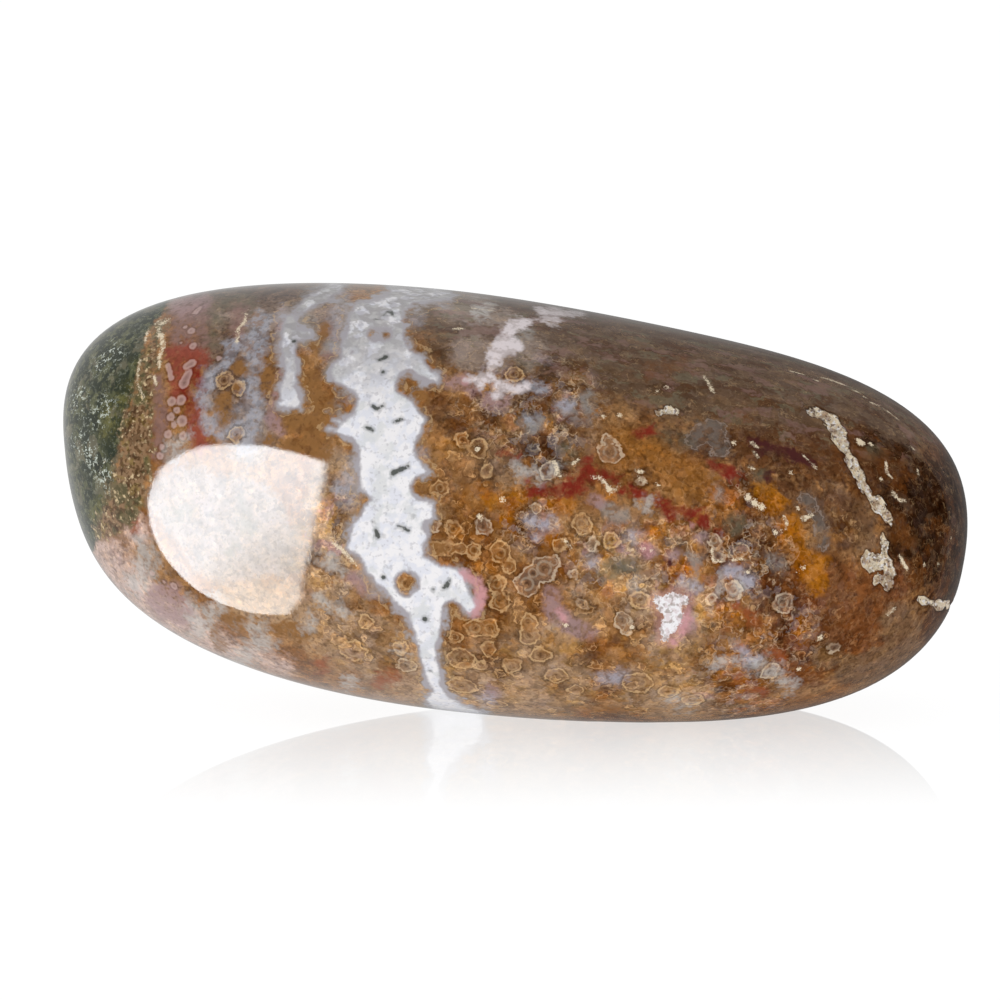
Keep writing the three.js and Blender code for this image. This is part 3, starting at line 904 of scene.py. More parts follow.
def mark_skin(skin):
    """Works out every marking's field and stores it. Behind, where the net is coarser, the patches
    and the pale band are wider."""
    places = skin.points / MM
    behind = smooth_step(places[:, 1], *BEHIND)
    wider = WIDER_BEHIND * behind
    skin.carry("behind", behind)
    for layer in ZONES:
        skin.carry(layer.name, stroke_field(skin.drawn, layer.runs) * PIXEL_MM)
    for layer in PATCHES:
        skin.carry(layer.name, stroke_field(skin.drawn, layer.runs) * PIXEL_MM + wider)
    band = np.maximum(outline_field(skin.drawn, WHITE_BAND), stroke_field(skin.drawn, WHITE_STRIP))
    band = np.minimum(band, -stroke_field(skin.drawn, BAND_BAYS))
    skin.carry("white_band", band * PIXEL_MM + wider)
    for name, outline in DRAWN_OUTLINES.items():
        skin.carry(name, outline_field(skin.drawn, outline) * PIXEL_MM)
    for name, runs in DRAWN_STROKES.items():
        skin.carry(name, stroke_field(skin.drawn, runs) * PIXEL_MM)
    for name, runs in FRONT_STROKES.items():
        skin.carry(name, stroke_field(places, skin.lift(runs)))
    for name, orbs in FRONT_ORBS.items():
        inside, part = orb_fields(places, skin.lift([[orb] for orb in orbs]))
        skin.carry(name, inside)
        skin.carry(name + "_share", part)


def open_the_skin(mesh, viewpoint, form):
    """Sinks the open places into the skin, with a floor of rough mineral, and returns their field."""
    skin = Skin(mesh, viewpoint)
    places = skin.points / MM
    field = stroke_field(places, skin.lift(OPEN_PLACES))
    normals = read_vectors(mesh.vertex_normals, "vector", len(mesh.vertices))
    for i in np.flatnonzero(field > -EDGE_REACH):
        place = Vector(places[i])
        grain = sum(noise.noise(place * waves) * 0.5 for waves in GRAIN_WAVES)
        field[i] += GRAIN_WANDER * grain + EDGE_WANDER * noise.noise(place * EDGE_WAVES)
        sunk = smooth_step(field[i], *SUNK_BETWEEN) * (SUNK_LEAST + SUNK_BY_GRAIN * grain)
        skin.points[i] -= normals[i] * max(sunk, 0) * form.hollow
    mesh.vertices.foreach_set("co", skin.points.ravel())
    mesh.update()
    return field


# ---- The material ----------------------------------------------------------------------------


class Weave:
    """Short ways to add shader nodes and join them."""

    def __init__(self, tree):
        self.tree = tree

    def add(self, kind, inputs=(), **settings):
        node = self.tree.nodes.new(kind)
        for key, value in settings.items():
            setattr(node, key, value)
        for socket, value in dict(inputs).items():
            if isinstance(value, bpy.types.NodeSocket):
                self.tree.links.new(value, node.inputs[socket])
            else:
                node.inputs[socket].default_value = value
        return node

    def field(self, name):
        return self.add("ShaderNodeAttribute", attribute_name=name).outputs["Fac"]

    def math(self, operation, first, second=0.0, third=0.0):
        inputs = {0: first, 1: second, 2: third}
        return self.add("ShaderNodeMath", inputs, operation=operation).outputs[0]

    def times(self, first, second):
        return self.math("MULTIPLY", first, second)

    def plus(self, first, second):
        return self.math("ADD", first, second)

    def fade(self, value, low, high, start=0.0, end=1.0):
        """start where value is at most low, end where it is at least high, smooth between."""
        inputs = {0: value, 1: low, 2: high, 3: start, 4: end}
        return self.add("ShaderNodeMapRange", inputs, interpolation_type="SMOOTHSTEP").outputs[0]

    def within(self, part, value, low, high, most=1.0):
        """Fades in to most as value goes from low to high, where part is 1."""
        return self.times(self.fade(value, low, high, 0.0, most), part)

    def line(self, value, middle, half, strength=1.0):
        """strength where value is at middle, nothing from half away."""
        return self.fade(self.math("ABSOLUTE", self.plus(value, -middle)), half * 0.3, half, strength, 0.0)

    def mix(self, part, first, second, blend="MIX"):
        inputs = {0: part, 6: first, 7: second}
        return self.add("ShaderNodeMix", inputs, data_type="RGBA", blend_type=blend).outputs[2]

    def noise(self, where, size, detail=2.0, roughness=0.5):
        """Soft noise whose lumps are about size millimetres: a value and a colour."""
        inputs = {"Vector": where, "Scale": 1 / size, "Detail": detail, "Roughness": roughness}
        node = self.add("ShaderNodeTexNoise", inputs)
        return node.outputs[0], node.outputs[1]

    def cells(self, where, size):
        """Scattered cells about size millimetres apart: how far the middle is, and three values each."""
        node = self.add("ShaderNodeTexVoronoi", {"Vector": where, "Scale": 1 / size})
        return self.times(node.outputs["Distance"], size), self.parts(node.outputs["Color"])

    def parts(self, value):
        node = self.add("ShaderNodeSeparateColor", {0: value})
        return node.outputs[0], node.outputs[1], node.outputs[2]

    def shifted(self, where, wobble, amount):
        """Coordinates pushed about by a noise's colour, by up to about half of amount."""
        middle = self.add("ShaderNodeVectorMath", {0: wobble, 1: (0.5,) * 3}, operation="SUBTRACT")
        inputs = {0: middle.outputs[0], 3: amount}
        scaled = self.add("ShaderNodeVectorMath", inputs, operation="SCALE")
        inputs = {0: where, 1: scaled.outputs[0]}
        return self.add("ShaderNodeVectorMath", inputs, operation="ADD").outputs[0]


class JasperPattern:
    """The stone's colour, laid down in order from the ground to the brightest specks.

    All of it shares a few textures: stains, lumps and crumbs are soft noise, orbs and beads are cells.
    Noise gathers round 0.5, so a fade that begins near there picks wide patches, and one that begins
    further out picks spots.
    """

    def __init__(self, weave, tints):
        w = self.weave = weave
        self.tints = tints
        place = w.add("ShaderNodeTexCoord").outputs["Object"]
        scale = {"Vector": place, "Scale": (1 / MM,) * 3}
        self.mm = w.add("ShaderNodeMapping", scale).outputs[0]
        _, lumps = w.noise(self.mm, LUMPS, 2, 0.55)
        _, crumbs = w.noise(self.mm, CRUMBS, 1.2, 0.5)
        self.lumps = w.parts(lumps)
        self.crumbs = w.parts(crumbs)
        self.grit, _ = w.noise(self.mm, GRIT, 1, 0.6)
        self.warped = w.shifted(w.shifted(self.mm, lumps, 1.1), crumbs, 0.3)
        _, stains = w.noise(self.warped, STAINS, 2, 0.5)
        self.stains = w.parts(stains)
        self.orb, self.orb_tone = w.cells(self.warped, ORB_CELLS)
        self.bead, self.bead_tone = w.cells(w.shifted(self.mm, crumbs, 0.45), BEAD_CELLS)
        self.colour = None
        self.band = None
        behind = w.field("behind")
        busy = w.fade(w.field("busy_field"), -1.5, 0.8, 0.12, 1.0)
        self.busy = w.math("MAXIMUM", busy, w.times(behind, 0.7))
        orby = w.fade(w.field("orb_field"), -1.2, 1.0, 0.15, 1.0)
        self.orby = w.math("MAXIMUM", orby, w.times(behind, 0.6))
        self.lively = w.fade(w.field("zone_veil"), -0.6, 1.0, 1.0, 0.35)

    def tint(self, name):
        return (*getattr(self.tints, name)[:3], 1.0)

    def lay(self, part, paint, blend="MIX"):
        """Lays a colour, a named one or one that is worked out, over what is there."""
        value = self.tint(paint) if isinstance(paint, str) else paint
        self.colour = self.weave.mix(part, self.colour, value, blend)

    def blend(self, ground, *layers):
        """Named colours laid over each other, each with the part of the surface that it takes."""
        colour = self.tint(ground)
        for part, name in layers:
            colour = self.weave.mix(part, colour, self.tint(name))
        return colour

    def shade(self, part, depth):
        """Darkens by depth, where part is 1."""
        self.lay(part, (*(1 - depth * channel for channel in SHADE_HUE), 1.0), "MULTIPLY")

    def tone(self, part, hue):
        """Multiplies by a hue, where part is 1."""
        self.lay(part, (*HUES[hue], 1.0), "MULTIPLY")

    def shaken(self, value, texture, amount, middle=0.5):
        """A field pushed to and fro by a texture that varies round middle."""
        w = self.weave
        return w.math("MULTIPLY_ADD", texture, amount, w.plus(value, -amount * middle))

    def uneven(self, name, ragged, turn=0, scallop=0.0):
        """A field with its edge made ragged, by about that much, and scalloped round the orbs."""
        w = self.weave
        value = w.math("MULTIPLY_ADD", self.lumps[turn % 3], ragged * BY_LUMPS, w.field(name))
        value = w.math("MULTIPLY_ADD", self.crumbs[turn % 3], ragged * BY_CRUMBS, value)
        value = w.plus(value, -ragged * (BY_LUMPS + BY_CRUMBS) / 2 - scallop * ORB_MIDDLE)
        return w.math("MULTIPLY_ADD", self.orb, scallop, value) if scallop else value

    def ground(self):
        w = self.weave
        broad, _ = w.noise(self.mm, BROAD, 2)
        self.colour = self.blend("ochre", (w.fade(broad, 0.4, 0.6), "sienna"))

    def zones(self):
        for i, zone in enumerate(ZONES):
            value = self.uneven(zone.name, zone.ragged, i, zone.scallop)
            soft = zone.fade / 2
            self.lay(self.weave.fade(value, -soft, soft, 0.0, zone.share), zone.colour)

    def patches(self):
        """Ragged patches that let a little of the ground through, some with a lighter rim."""
        w = self.weave
        for i, patch in enumerate(PATCHES):
            value = self.uneven(patch.name, patch.ragged, i, patch.scallop)
            spots = w.math("MULTIPLY_ADD", self.lumps[(i + 1) % 3], 0.6, w.times(self.crumbs[i % 3], 0.4))
            thin = w.fade(spots, 0.47, 0.6, patch.share, patch.least())
            soft = patch.fade / 2
            self.lay(w.within(thin, value, -soft, soft), patch.colour)
            if patch.rim:
                self.lay(w.times(w.line(value, 0.06, 0.09), self.broken(i % 3, 0.7)), patch.rim)

    def mosaic(self):
        """Stains that run into each other, each orb's own hue, and a soft shade between orbs."""
        w = self.weave
        part = w.math("MAXIMUM", self.busy, w.times(self.orby, 0.75))
        faint = w.times(self.busy, 0.2)
        red, green, blue = self.stains
        self.tone(w.within(part, red, 0.52, 0.64), "golden")
        self.tone(w.within(part, red, 0.46, 0.36), "cool")
        self.tone(w.within(part, green, 0.5, 0.62), "burnt")
        self.tone(w.within(self.busy, green, 0.46, 0.37), "violet")
        self.tone(w.within(part, blue, 0.53, 0.64), "milky")
        self.lay(w.within(faint, blue, 0.44, 0.36), "greige")
        red, _, blue = self.orb_tone
        self.tone(w.within(part, red, 0.55, 0.85), "orb_golden")
        self.tone(w.within(part, blue, 0.5, 0.8), "orb_dark")
        self.tone(w.within(part, blue, 0.3, 0.1), "orb_pale")
        self.shade(w.within(part, self.orb, 0.2, 0.5), 0.25)
        red, green, _ = self.bead_tone
        self.lay(w.within(faint, red, 0.65, 0.9), "chalcedony")
        self.shade(w.within(self.lively, green, 0.5, 0.9), 0.22)

    def broken(self, turn, strength=1.0):
        """A strength that fades out here and there."""
        return self.weave.times(self.weave.fade(self.lumps[turn], 0.42, 0.54), strength)

    def draw_line(self, part, tint):
        """A thin pale line: brighter than what it lies on, and partly of its own colour."""
        self.tone(part, "fine_line")
        self.lay(self.weave.times(part, 0.3), tint)

    def rings(self, away, tone, radii, strength, tint):
        """An orb in some cells: thin pale ring, broken here and there, and a dark heart."""
        w = self.weave
        size, chance, heart = tone
        least, most = radii
        out = w.math("MULTIPLY_ADD", size, least - most, w.plus(away, -least))
        out = self.shaken(out, self.crumbs[0], 0.16)
        seen = w.within(strength, chance, 0.3, 0.6)
        self.shade(w.times(w.line(out, 0.09, 0.08), seen), 0.25)
        self.draw_line(w.times(w.line(out, 0.0, 0.075), w.times(self.broken(2), seen)), tint)
        self.shade(w.times(w.fade(away, 0.06, 0.16, 1.0, 0.0), w.times(seen, heart)), 0.55)

    def arcs(self, away, radius, strength, tint):
        """Curling lines along the outer edges of cells, broken up."""
        w = self.weave
        value = self.shaken(away, self.crumbs[2], 0.14)
        self.draw_line(w.times(w.line(value, radius, 0.065), w.times(self.broken(1), strength)), tint)

    def orbs(self):
        w = self.weave
        self.rings(self.orb, self.orb_tone, (0.26, 0.42), self.orby, "ring_tan")
        self.rings(self.bead, self.bead_tone, (0.12, 0.2), w.times(self.busy, 0.5), "ring_pale")
        self.arcs(self.orb, 0.48, self.busy, "ring_pale")
        strength = w.times(self.lively, w.math("MULTIPLY_ADD", self.busy, 0.3, 0.2))
        self.arcs(self.bead, 0.27, strength, "ring_tan")

    def texture(self, strength):
        """Lighter and darker grain over everything so far, weaker among the orbs."""
        w = self.weave
        part = w.times(self.lively, w.math("MULTIPLY_ADD", self.orby, -0.3 * strength, strength))
        self.shade(w.within(part, self.lumps[0], 0.48, 0.66), 0.3)
        self.shade(w.within(part, self.crumbs[2], 0.52, 0.68), 0.36)
        self.tone(w.within(part, self.crumbs[0], 0.46, 0.32), "pale_crumb")
        self.tone(w.within(part, self.lumps[2], 0.46, 0.34), "pale_lump")

    def flow(self):
        """Long soft streaks in the veil and in the dark end, along the way that the stone grew."""
        w = self.weave
        turned = {"Vector": self.warped, "Rotation": (0, FLOW_LEAN, 0), "Scale": FLOW_STRETCH}
        value, tone = w.noise(w.add("ShaderNodeMapping", turned).outputs[0], STREAKS, 2.0, 0.5)
        red, green, blue = w.parts(tone)
        veil = w.fade(w.field("zone_veil"), -0.4, 1.0)
        dark = w.fade(self.uneven("zone_umber", 0.4, 2), -0.4, 0.4)
        part = w.math("MAXIMUM", veil, dark)
        self.tone(w.within(part, value, 0.5, 0.6), "dark_streak")
        self.tone(w.within(part, value, 0.46, 0.36), "pale_streak")
        self.lay(w.within(veil, red, 0.55, 0.66, 0.5), "walnut")
        self.lay(w.within(veil, green, 0.55, 0.64, 0.45), "olive_grey")
        self.lay(w.within(veil, blue, 0.56, 0.66, 0.5), "dusk")
        self.lay(w.within(dark, self.stains[0], 0.52, 0.64, 0.5), "ember")
        self.tone(w.within(dark, self.stains[1], 0.48, 0.58), "black_stain")
        self.lay(w.within(dark, green, 0.58, 0.66, 0.35), "veil_brown")
        self.draw_line(w.times(w.line(blue, 0.5, 0.016, 0.5), w.times(part, self.broken(0))), "ring_tan")

    def placed_orbs(self, name, tint, core):
        """The orbs that have a place of their own: core, an inner ring, a dark heart and the ring."""
        w = self.weave
        value = w.plus(w.math("MULTIPLY_ADD", self.lumps[1], 0.34, w.field(name)), -0.17)
        value = self.shaken(value, self.crumbs[1], 0.1)
        value = self.shaken(value, self.bead, 0.65, 0.2)
        depth = w.field(name + "_share")
        self.shade(w.line(value, -0.11, 0.1), 0.28)
        self.lay(w.fade(value, -0.02, 0.12, 0.0, 0.2), core)
        self.lay(w.times(w.line(depth, 0.45, 0.16), self.broken(0, 0.25)), tint)
        self.shade(w.times(w.fade(depth, 0.6, 0.85), w.fade(self.crumbs[1], 0.4, 0.55)), 0.5)
        seen = w.fade(self.lumps[0], 0.4, 0.56, 0.25, 0.75)
        self.draw_line(w.times(w.line(value, 0.03, 0.1), seen), tint)
        self.lay(w.times(w.line(value, 0.03, 0.09), w.times(seen, 0.5)), tint)

    def blobs(self):
        w = self.weave
        value = self.uneven("pink_blobs", 0.07, 1)
        self.shade(w.line(value, -0.07, 0.07), 0.2)
        self.lay(w.fade(value, -0.05, 0.05, 0.0, 0.6), "blob_pink")
        self.lay(w.fade(value, 0.08, 0.2, 0.0, 0.65), "dusk")
        self.shade(w.fade(value, 0.2, 0.26), 0.25)

    def white_band(self):
        """Grey halo with a blush where the pink rims are, then white with cool and dull patches,
        duller still at the top, where painted shade greys it. The orbs round it scallop it."""
        w = self.weave
        value = self.uneven("white_band", 0.1, 0, 0.16)
        wide = self.shaken(value, self.stains[1], 1.5, 0.52)
        wide = self.shaken(wide, self.lumps[2], 0.7)
        self.lay(w.times(w.line(wide, -0.55, 0.09, 0.4), self.broken(2)), "ring_tan")
        self.lay(w.fade(wide, -0.55, -0.25, 0.0, 0.7), "halo_warm")
        self.lay(w.fade(w.math("MAXIMUM", wide, w.plus(value, -0.05)), -0.38, -0.1, 0.0, 0.85), "halo")
        blush = w.times(w.fade(self.uneven("patch_pink", 0.35), -0.3, 0.1), w.fade(wide, -0.7, -0.3))
        self.lay(w.times(blush, 0.75), "pink")
        # How far the painted shade along the top of the face reaches, to dull the white there.
        high = w.fade(w.field("top_shade"), -8.0, -1.0)
        white = self.blend(
            "white",
            (w.fade(self.lumps[1], 0.42, 0.6), "white_blue"),
            (w.fade(self.stains[0], 0.5, 0.64, 0.0, 0.6), "white_grey"),
            (w.fade(self.crumbs[1], 0.56, 0.7, 0.0, 0.4), "halo"),
            (w.times(high, w.fade(self.lumps[0], 0.44, 0.58, 0.2, 0.8)), "halo"),
            (w.times(high, w.fade(self.orb, 0.34, 0.5, 0.0, 0.6)), "stone_grey"),
        )
        self.band = w.fade(value, -0.14, 0.06)
        self.lay(self.band, white)

    # Painted shade along the top of the face: darker and greyer there, less over the pale band.
    def shade_top(self):
        w = self.weave
        top = w.fade(w.field("top_shade"), -1.2, 0.8)
        part = w.times(top, w.math("MULTIPLY_ADD", self.band, -0.7, 1.0))
        self.shade(part, 0.3)
        self.shade(w.times(part, w.fade(self.lumps[2], 0.45, 0.6)), 0.35)

    def dark_specks(self):
        value = self.uneven("dendrites", 0.06, 1)
        self.lay(self.weave.fade(value, -0.16, -0.02, 0.0, 0.3), "dendrite")
        self.lay(self.weave.fade(value, -0.04, 0.05, 0.0, 0.9), "dendrite")

    def mossy_end(self):
        """Greens in clumps, the gold seam beside them with its grains, and what glitters."""
        w = self.weave
        value = self.uneven("moss_end", 0.2)
        olive = w.fade(self.uneven("olive_clumps", 0.3, 1), -0.2, 0.3)
        green = self.blend(
            "moss",
            (w.fade(self.lumps[1], 0.44, 0.54), "moss_dark"),
            (w.fade(self.crumbs[0], 0.52, 0.68, 0.0, 0.5), "olive"),
            (w.times(olive, 0.7), "olive"),
            (w.fade(self.crumbs[1], 0.48, 0.66, 0.0, 0.65), "moss_dark"),
            (w.fade(self.stains[0], 0.48, 0.58, 0.0, 0.7), "moss_dark"),
            (w.fade(self.stains[2], 0.54, 0.62, 0.0, 0.6), "olive_grey"),
        )
        self.lay(w.fade(value, -0.15, 0.15), green)
        seam = w.fade(self.uneven("gold_seam", 0.4, 2), -0.2, 0.3)
        self.lay(w.times(seam, 0.85), "gold")
        self.shade(w.within(seam, self.crumbs[1], 0.44, 0.6), 0.55)
        self.shade(w.within(seam, self.lumps[0], 0.5, 0.62), 0.35)
        self.tone(w.within(seam, self.lumps[1], 0.48, 0.38), "seam_green")
        self.lay(w.within(seam, self.stains[1], 0.46, 0.56, 0.6), "moss")
        grain = w.plus(w.times(self.grit, 0.15), w.times(self.crumbs[2], 0.9))
        clump = w.fade(self.lumps[2], 0.44, 0.56, 0.15, 0.85)
        self.lay(w.within(w.times(seam, clump), grain, 0.56, 0.74), "gold_speck")
        grain = w.plus(w.times(self.grit, 0.5), w.times(self.crumbs[0], 0.6))
        glitter = w.fade(self.uneven("silver", 0.3, 2), -0.3, 0.4, 0.12, 1.0)
        glitter = w.within(glitter, value, 0.0, 0.3)
        self.lay(w.within(w.times(glitter, 0.85), grain, 0.6, 0.66), "silver")

    def cream_marks(self):
        """Thin lines, spots and the granular vug."""
        w = self.weave
        value = self.shaken(self.uneven("cream_lines", 0.06, 1), self.grit, 0.3)
        worn = w.fade(self.crumbs[0], 0.4, 0.52, 0.3, 0.85)
        self.lay(w.times(w.fade(value, -0.05, 0.06), worn), "cream")
        value = self.shaken(self.uneven("cream_spots", 0.1, 2), self.grit, 0.4)
        self.shade(w.line(value, -0.12, 0.1), 0.25)
        self.lay(w.fade(value, -0.05, 0.06, 0.0, 0.85), "cream")
        value = self.shaken(self.uneven("vug", 0.2, 1), self.grit, 0.4)
        self.lay(w.fade(value, -0.5, -0.1, 0.0, 0.3), "pink")
        grains = self.blend(
            "white",
            (w.fade(self.crumbs[1], 0.44, 0.6), "pale_vein"),
            (w.fade(self.crumbs[2], 0.5, 0.66, 0.0, 0.65), "greige"),
        )
        self.lay(w.fade(value, -0.05, 0.08), grains)

    def open_places(self, rough):
        """Painted shade round the edge of each open place, and the rough mineral that fills it."""
        w = self.weave
        # Painted shade round the lip of each open place, where it sinks into the skin.
        self.shade(w.line(w.field("open_place"), -0.04, 0.1), 0.35)
        # The mineral's own cream and tan, with painted highlights in white on its grains; the sienna and
        # walnut specks are partly its own brown and partly painted shadow between the grains.
        mineral = self.blend(
            "cream",
            (w.fade(self.lumps[0], 0.4, 0.6), "ring_pale"),
            (w.fade(self.crumbs[1], 0.48, 0.38, 0.0, 0.8), "white"),
            (w.fade(self.crumbs[0], 0.52, 0.64, 0.0, 0.5), "ring_tan"),
            (w.fade(self.lumps[2], 0.52, 0.6, 0.0, 0.6), "sienna"),
            (w.fade(self.crumbs[2], 0.57, 0.64, 0.0, 0.75), "walnut"),
        )
        self.lay(rough, mineral)


def jasper_material(colours):
    """Polished jasper, with rough cream mineral where the skin is open."""
    material = bpy.data.materials.new("polished_jasper")
    material.use_nodes = True
    tree = material.node_tree
    w = Weave(tree)
    shader = tree.nodes["Principled BSDF"]
    pattern = JasperPattern(w, colours)
    rough = w.fade(w.field("open_place"), -0.02, 0.05)

    pattern.ground()
    pattern.zones()
    pattern.mosaic()
    pattern.orbs()
    pattern.flow()
    pattern.texture(0.65)
    pattern.patches()
    pattern.texture(0.4)
    pattern.placed_orbs("tan_orb", "ring_tan", "sienna")
    pattern.placed_orbs("pale_orb", "ring_pale", "greige")
    pattern.mossy_end()
    pattern.blobs()
    pattern.white_band()
    pattern.shade_top()
    pattern.dark_specks()
    pattern.cream_marks()
    pattern.open_places(rough)

    tree.links.new(pattern.colour, shader.inputs["Base Color"])
    polish = w.fade(rough, 0.0, 1.0, POLISHED, UNPOLISHED)
    tree.links.new(polish, shader.inputs["Roughness"])
    shader.inputs["IOR"].default_value = QUARTZ_IOR
    height = w.times(pattern.grit, w.fade(rough, 0.0, 1.0, GRAIN_IN_POLISH, 1.0))
    bump = w.add("ShaderNodeBump", {"Height": height, "Strength": 1.0, "Distance": GRAIN_HEIGHT})
    tree.links.new(bump.outputs[0], shader.inputs["Normal"])
    return material


# ---- The studio ------------------------------------------------------------------------------


def add_camera(studio, viewpoint):
    data = bpy.data.cameras.new("camera")
    data.lens = studio.lens / MM
    data.sensor_width = SENSOR / MM
    data.clip_start = NEAR_CLIP
    camera = bpy.data.objects.new("camera", data)
    camera.location = viewpoint.place
    camera.rotation_euler = viewpoint.back.to_track_quat("Z", "Y").to_euler()
    bpy.context.collection.objects.link(camera)
    bpy.context.scene.camera = camera


def plane_object(name, corners):
    """A flat face through the corners, as an object at the origin."""
    net = bmesh.new()
    net.faces.new([net.verts.new(corner) for corner in corners])
    mesh = bpy.data.meshes.new(name)
    net.to_mesh(mesh)
    net.free()
    thing = bpy.data.objects.new(name, mesh)
    bpy.context.collection.objects.link(thing)
    return thing


def seen_plainly(w):
    """1 for what the camera sees, straight or in a perfect mirror."""
    rays = w.add("ShaderNodeLightPath")
    return w.math("MAXIMUM", rays.outputs["Is Camera Ray"], rays.outputs["Is Singular Ray"])


def add_floor(studio):
    """A wide white floor, lit like a light table, that mirrors the stone faintly in front of it."""
    half = studio.floor_size / 2
    floor = plane_object(
        "floor", [(-half, -half, 0), (half, -half, 0), (half, half, 0), (-half, half, 0)]
    )
    floor.visible_glossy = False
    material = bpy.data.materials.new("pale_floor")
    material.use_nodes = True
    tree = material.node_tree
    w = Weave(tree)
    tree.nodes.remove(tree.nodes["Principled BSDF"])
    place = w.add("ShaderNodeTexCoord").outputs["Object"]
    squash = w.add("ShaderNodeMapping", {"Vector": place, "Scale": MIRROR_SQUASH}).outputs[0]
    away = w.add("ShaderNodeVectorMath", {0: squash}, operation="LENGTH").outputs["Value"]
    near = w.fade(away, *MIRROR_FADE, studio.mirror, 0.0)
    matt = w.add("ShaderNodeBsdfDiffuse", {"Color": FLOOR_GREY})
    glow = w.add("ShaderNodeMix", {0: seen_plainly(w), 2: studio.bounce, 3: studio.table})
    lamp = w.add("ShaderNodeEmission", {"Color": WHITE, "Strength": glow.outputs[0]})
    white = w.add("ShaderNodeAddShader", {0: matt.outputs[0], 1: lamp.outputs[0]})
    shine = w.add("ShaderNodeBsdfGlossy", {"Color": WHITE, "Roughness": 0.0})
    both = w.add("ShaderNodeMixShader", {0: near, 1: white.outputs[0], 2: shine.outputs[0]})
    tree.links.new(both.outputs[0], tree.nodes["Material Output"].inputs["Surface"])
    floor.data.materials.append(material)


def add_glint_card(studio, skin):
    """The soft box: each corner is set where the polished skin throws the camera's ray."""
    def thrown(x, y):
        point, out = skin.at(x, y)
        way = (point - skin.viewpoint.place).normalized()
        return point, way.reflect(out)

    _, facing = thrown(*GLINT_MIDDLE)

    def on_card(x, y):
        point, way = thrown(x, y)
        return point + way * (GLINT_REACH / max(way.dot(facing), GLINT_SLANT))

    card = plane_object("soft_box", [on_card(x, y) for x, y in GLINT])
    card.data.materials.append(soft_box_material(studio, on_card(*GLINT_BRIGHT), on_card(*GLINT_DIM)))
    card.visible_camera = False
    card.visible_diffuse = False
    card.visible_shadow = False


def soft_box_material(studio, bright, dim):
    """White at the bright place, falling off towards the dim one, with faint folds of its cloth."""
    material = bpy.data.materials.new("soft_box")
    material.use_nodes = True
    tree = material.node_tree
    tree.nodes.remove(tree.nodes["Principled BSDF"])
    w = Weave(tree)
    place = w.add("ShaderNodeTexCoord").outputs["Object"]
    fall = dim - bright
    from_bright = w.add("ShaderNodeVectorMath", {0: place, 1: bright}, operation="SUBTRACT")
    inputs = {0: from_bright.outputs[0], 1: fall / fall.length_squared}
    along = w.add("ShaderNodeVectorMath", inputs, operation="DOT_PRODUCT").outputs["Value"]
    power = w.fade(along, *GLINT_FALL, studio.glint, studio.glint * GLINT_DIM_SHARE)
    hung = w.add("ShaderNodeMapping", {"Vector": place, "Scale": FOLD_WAVES}).outputs[0]
    folds = w.add("ShaderNodeTexNoise", {"Vector": hung, "Scale": 1.0, "Detail": 3.0}).outputs[0]
    power = w.times(power, w.fade(folds, *FOLD_FADE))
    hue = w.mix(w.fade(along, *GLINT_FALL), GLINT_COOL, GLINT_WARM)
    lamp = w.add("ShaderNodeEmission", {"Color": hue, "Strength": power})
    tree.links.new(lamp.outputs[0], tree.nodes["Material Output"].inputs["Surface"])
    return material


def add_key_light(studio):
    data = bpy.data.lights.new("key", "AREA")
    data.shape = "DISK"
    data.size = KEY_SIZE
    data.energy = studio.key
    data.color = KEY_HUE
    lamp = bpy.data.objects.new("key", data)
    lamp.location = Vector(KEY_PLACE)
    lamp.rotation_euler = lamp.location.to_track_quat("Z", "Y").to_euler()
    lamp.visible_glossy = False
    bpy.context.collection.objects.link(lamp)


def add_surround(studio):
    """White for the camera and for the floor's mirror, soft light for the stone. In its polish
    shows a room that is dark on the camera's side and white behind, most of all on the left."""
    world = bpy.data.worlds.new("surround")
    world.use_nodes = True
    bpy.context.scene.world = world
    tree = world.node_tree
    w = Weave(tree)
    way = w.add("ShaderNodeTexCoord").outputs["Generated"]
    across, behind, upward = w.add("ShaderNodeSeparateXYZ", {0: way}).outputs
    past = w.math("SUBTRACT", behind, w.math("MULTIPLY_ADD", across, *ROOM_EDGE))
    shown = w.fade(w.math("DIVIDE", past, w.fade(across, *ROOM_SOFT)), -1.0, 1.0)
    turn = w.math("MULTIPLY_ADD", upward, ROOM_LEAN, across)
    level = w.plus(w.fade(turn, *ROOM_LEFT), w.fade(across, *ROOM_WHITE))
    rim = w.times(w.times(shown, level), studio.rim)
    rays = w.add("ShaderNodeLightPath")
    plainly = seen_plainly(w)
    polish = w.math("SUBTRACT", rays.outputs["Is Glossy Ray"], rays.outputs["Is Singular Ray"])
    bare = w.math("MULTIPLY_ADD", plainly, BACKDROP - studio.ambient, studio.ambient)
    strength = w.add("ShaderNodeMix", {0: polish, 2: bare, 3: rim})
    background = tree.nodes["Background"]
    background.inputs["Color"].default_value = WHITE
    tree.links.new(strength.outputs[0], background.inputs["Strength"])


# ---- Operators, panel and registration -------------------------------------------------------


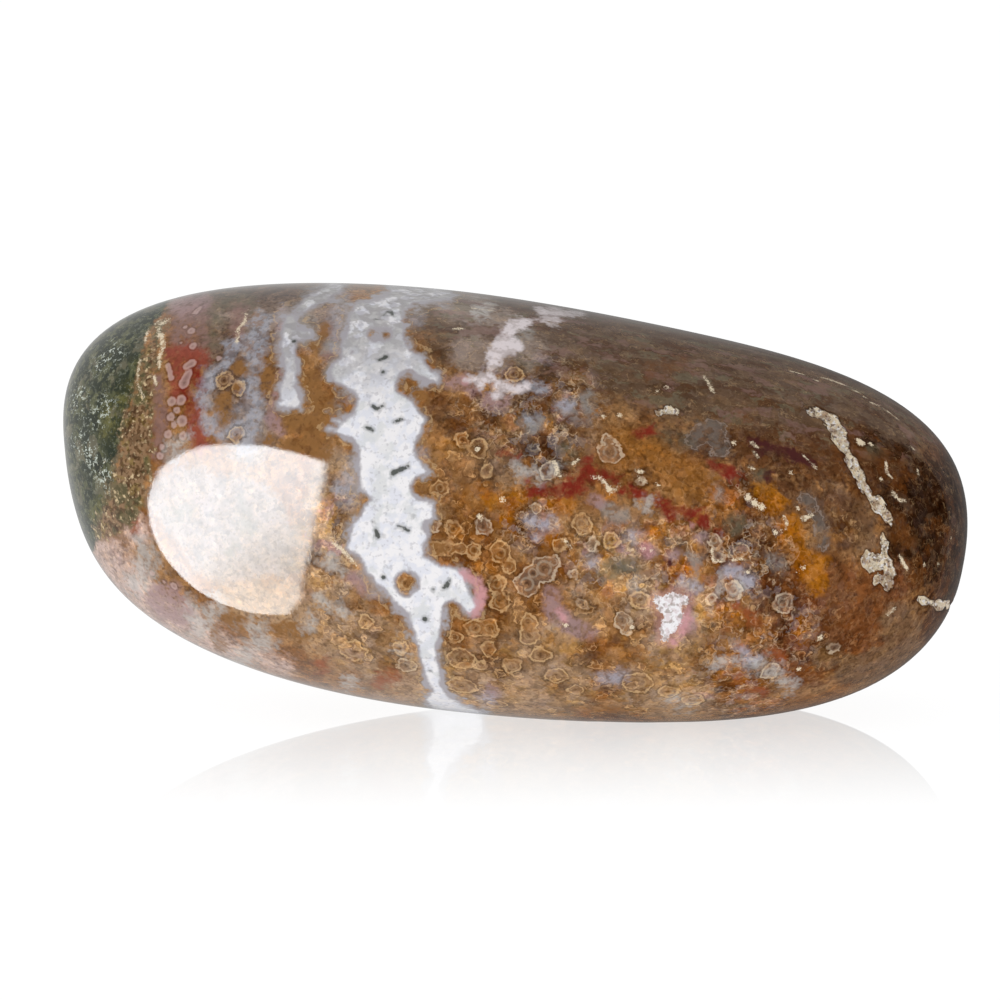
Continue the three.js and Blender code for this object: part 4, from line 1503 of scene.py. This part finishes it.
class JASPER_OT_add_stone(bpy.types.Operator):
    """Add the polished stone, in place of its plain solid"""

    bl_idname = "jasper.add_stone"
    bl_label = "Add Stone"

    def execute(self, context):
        scene = context.scene
        viewpoint = Viewpoint(scene.jasper_studio)
        mesh = pebble_mesh(scene.jasper_form)
        opened = open_the_skin(mesh, viewpoint, scene.jasper_form)
        skin = Skin(mesh, viewpoint)
        mark_skin(skin)
        skin.carry("open_place", opened)
        mesh.materials.append(jasper_material(scene.jasper_colours))
        stone = bpy.data.objects.new("tumbled_jasper", mesh)
        scene.collection.objects.link(stone)
        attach(stone, "root")
        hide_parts("tumbled_stone")
        return {"FINISHED"}


class JASPER_OT_add_studio(bpy.types.Operator):
    """Add the camera, the pale floor and the soft light"""

    bl_idname = "jasper.add_studio"
    bl_label = "Add Studio"

    def execute(self, context):
        scene = context.scene
        studio = scene.jasper_studio
        viewpoint = Viewpoint(studio)
        add_camera(studio, viewpoint)
        add_floor(studio)
        stone = bpy.data.objects["tumbled_jasper"]
        add_glint_card(studio, Skin(stone.data, viewpoint))
        add_key_light(studio)
        add_surround(studio)
        scene.view_settings.view_transform = "Standard"
        return {"FINISHED"}


class JASPER_PT_panel(bpy.types.Panel):
    bl_label = "Tumbled Jasper"
    bl_idname = "JASPER_PT_panel"
    bl_space_type = "VIEW_3D"
    bl_region_type = "UI"
    bl_category = "Jasper"

    def draw(self, context):
        for operator in OPERATORS:
            self.layout.operator(operator.bl_idname)


OPERATORS = (JASPER_OT_add_stone, JASPER_OT_add_studio)
GROUPS = {
    "jasper_form": JasperForm,
    "jasper_colours": JasperColours,
    "jasper_studio": JasperStudio,
}


def register():
    for cls in (*GROUPS.values(), *OPERATORS, JASPER_PT_panel):
        bpy.utils.register_class(cls)
    for name, group in GROUPS.items():
        setattr(bpy.types.Scene, name, PointerProperty(type=group))


def unregister():
    for name in GROUPS:
        delattr(bpy.types.Scene, name)
    for cls in reversed((*GROUPS.values(), *OPERATORS, JASPER_PT_panel)):
        bpy.utils.unregister_class(cls)


def main():
    register()
    bpy.ops.jasper.add_stone()
    bpy.ops.jasper.add_studio()


if __name__ == "__main__":
    main()
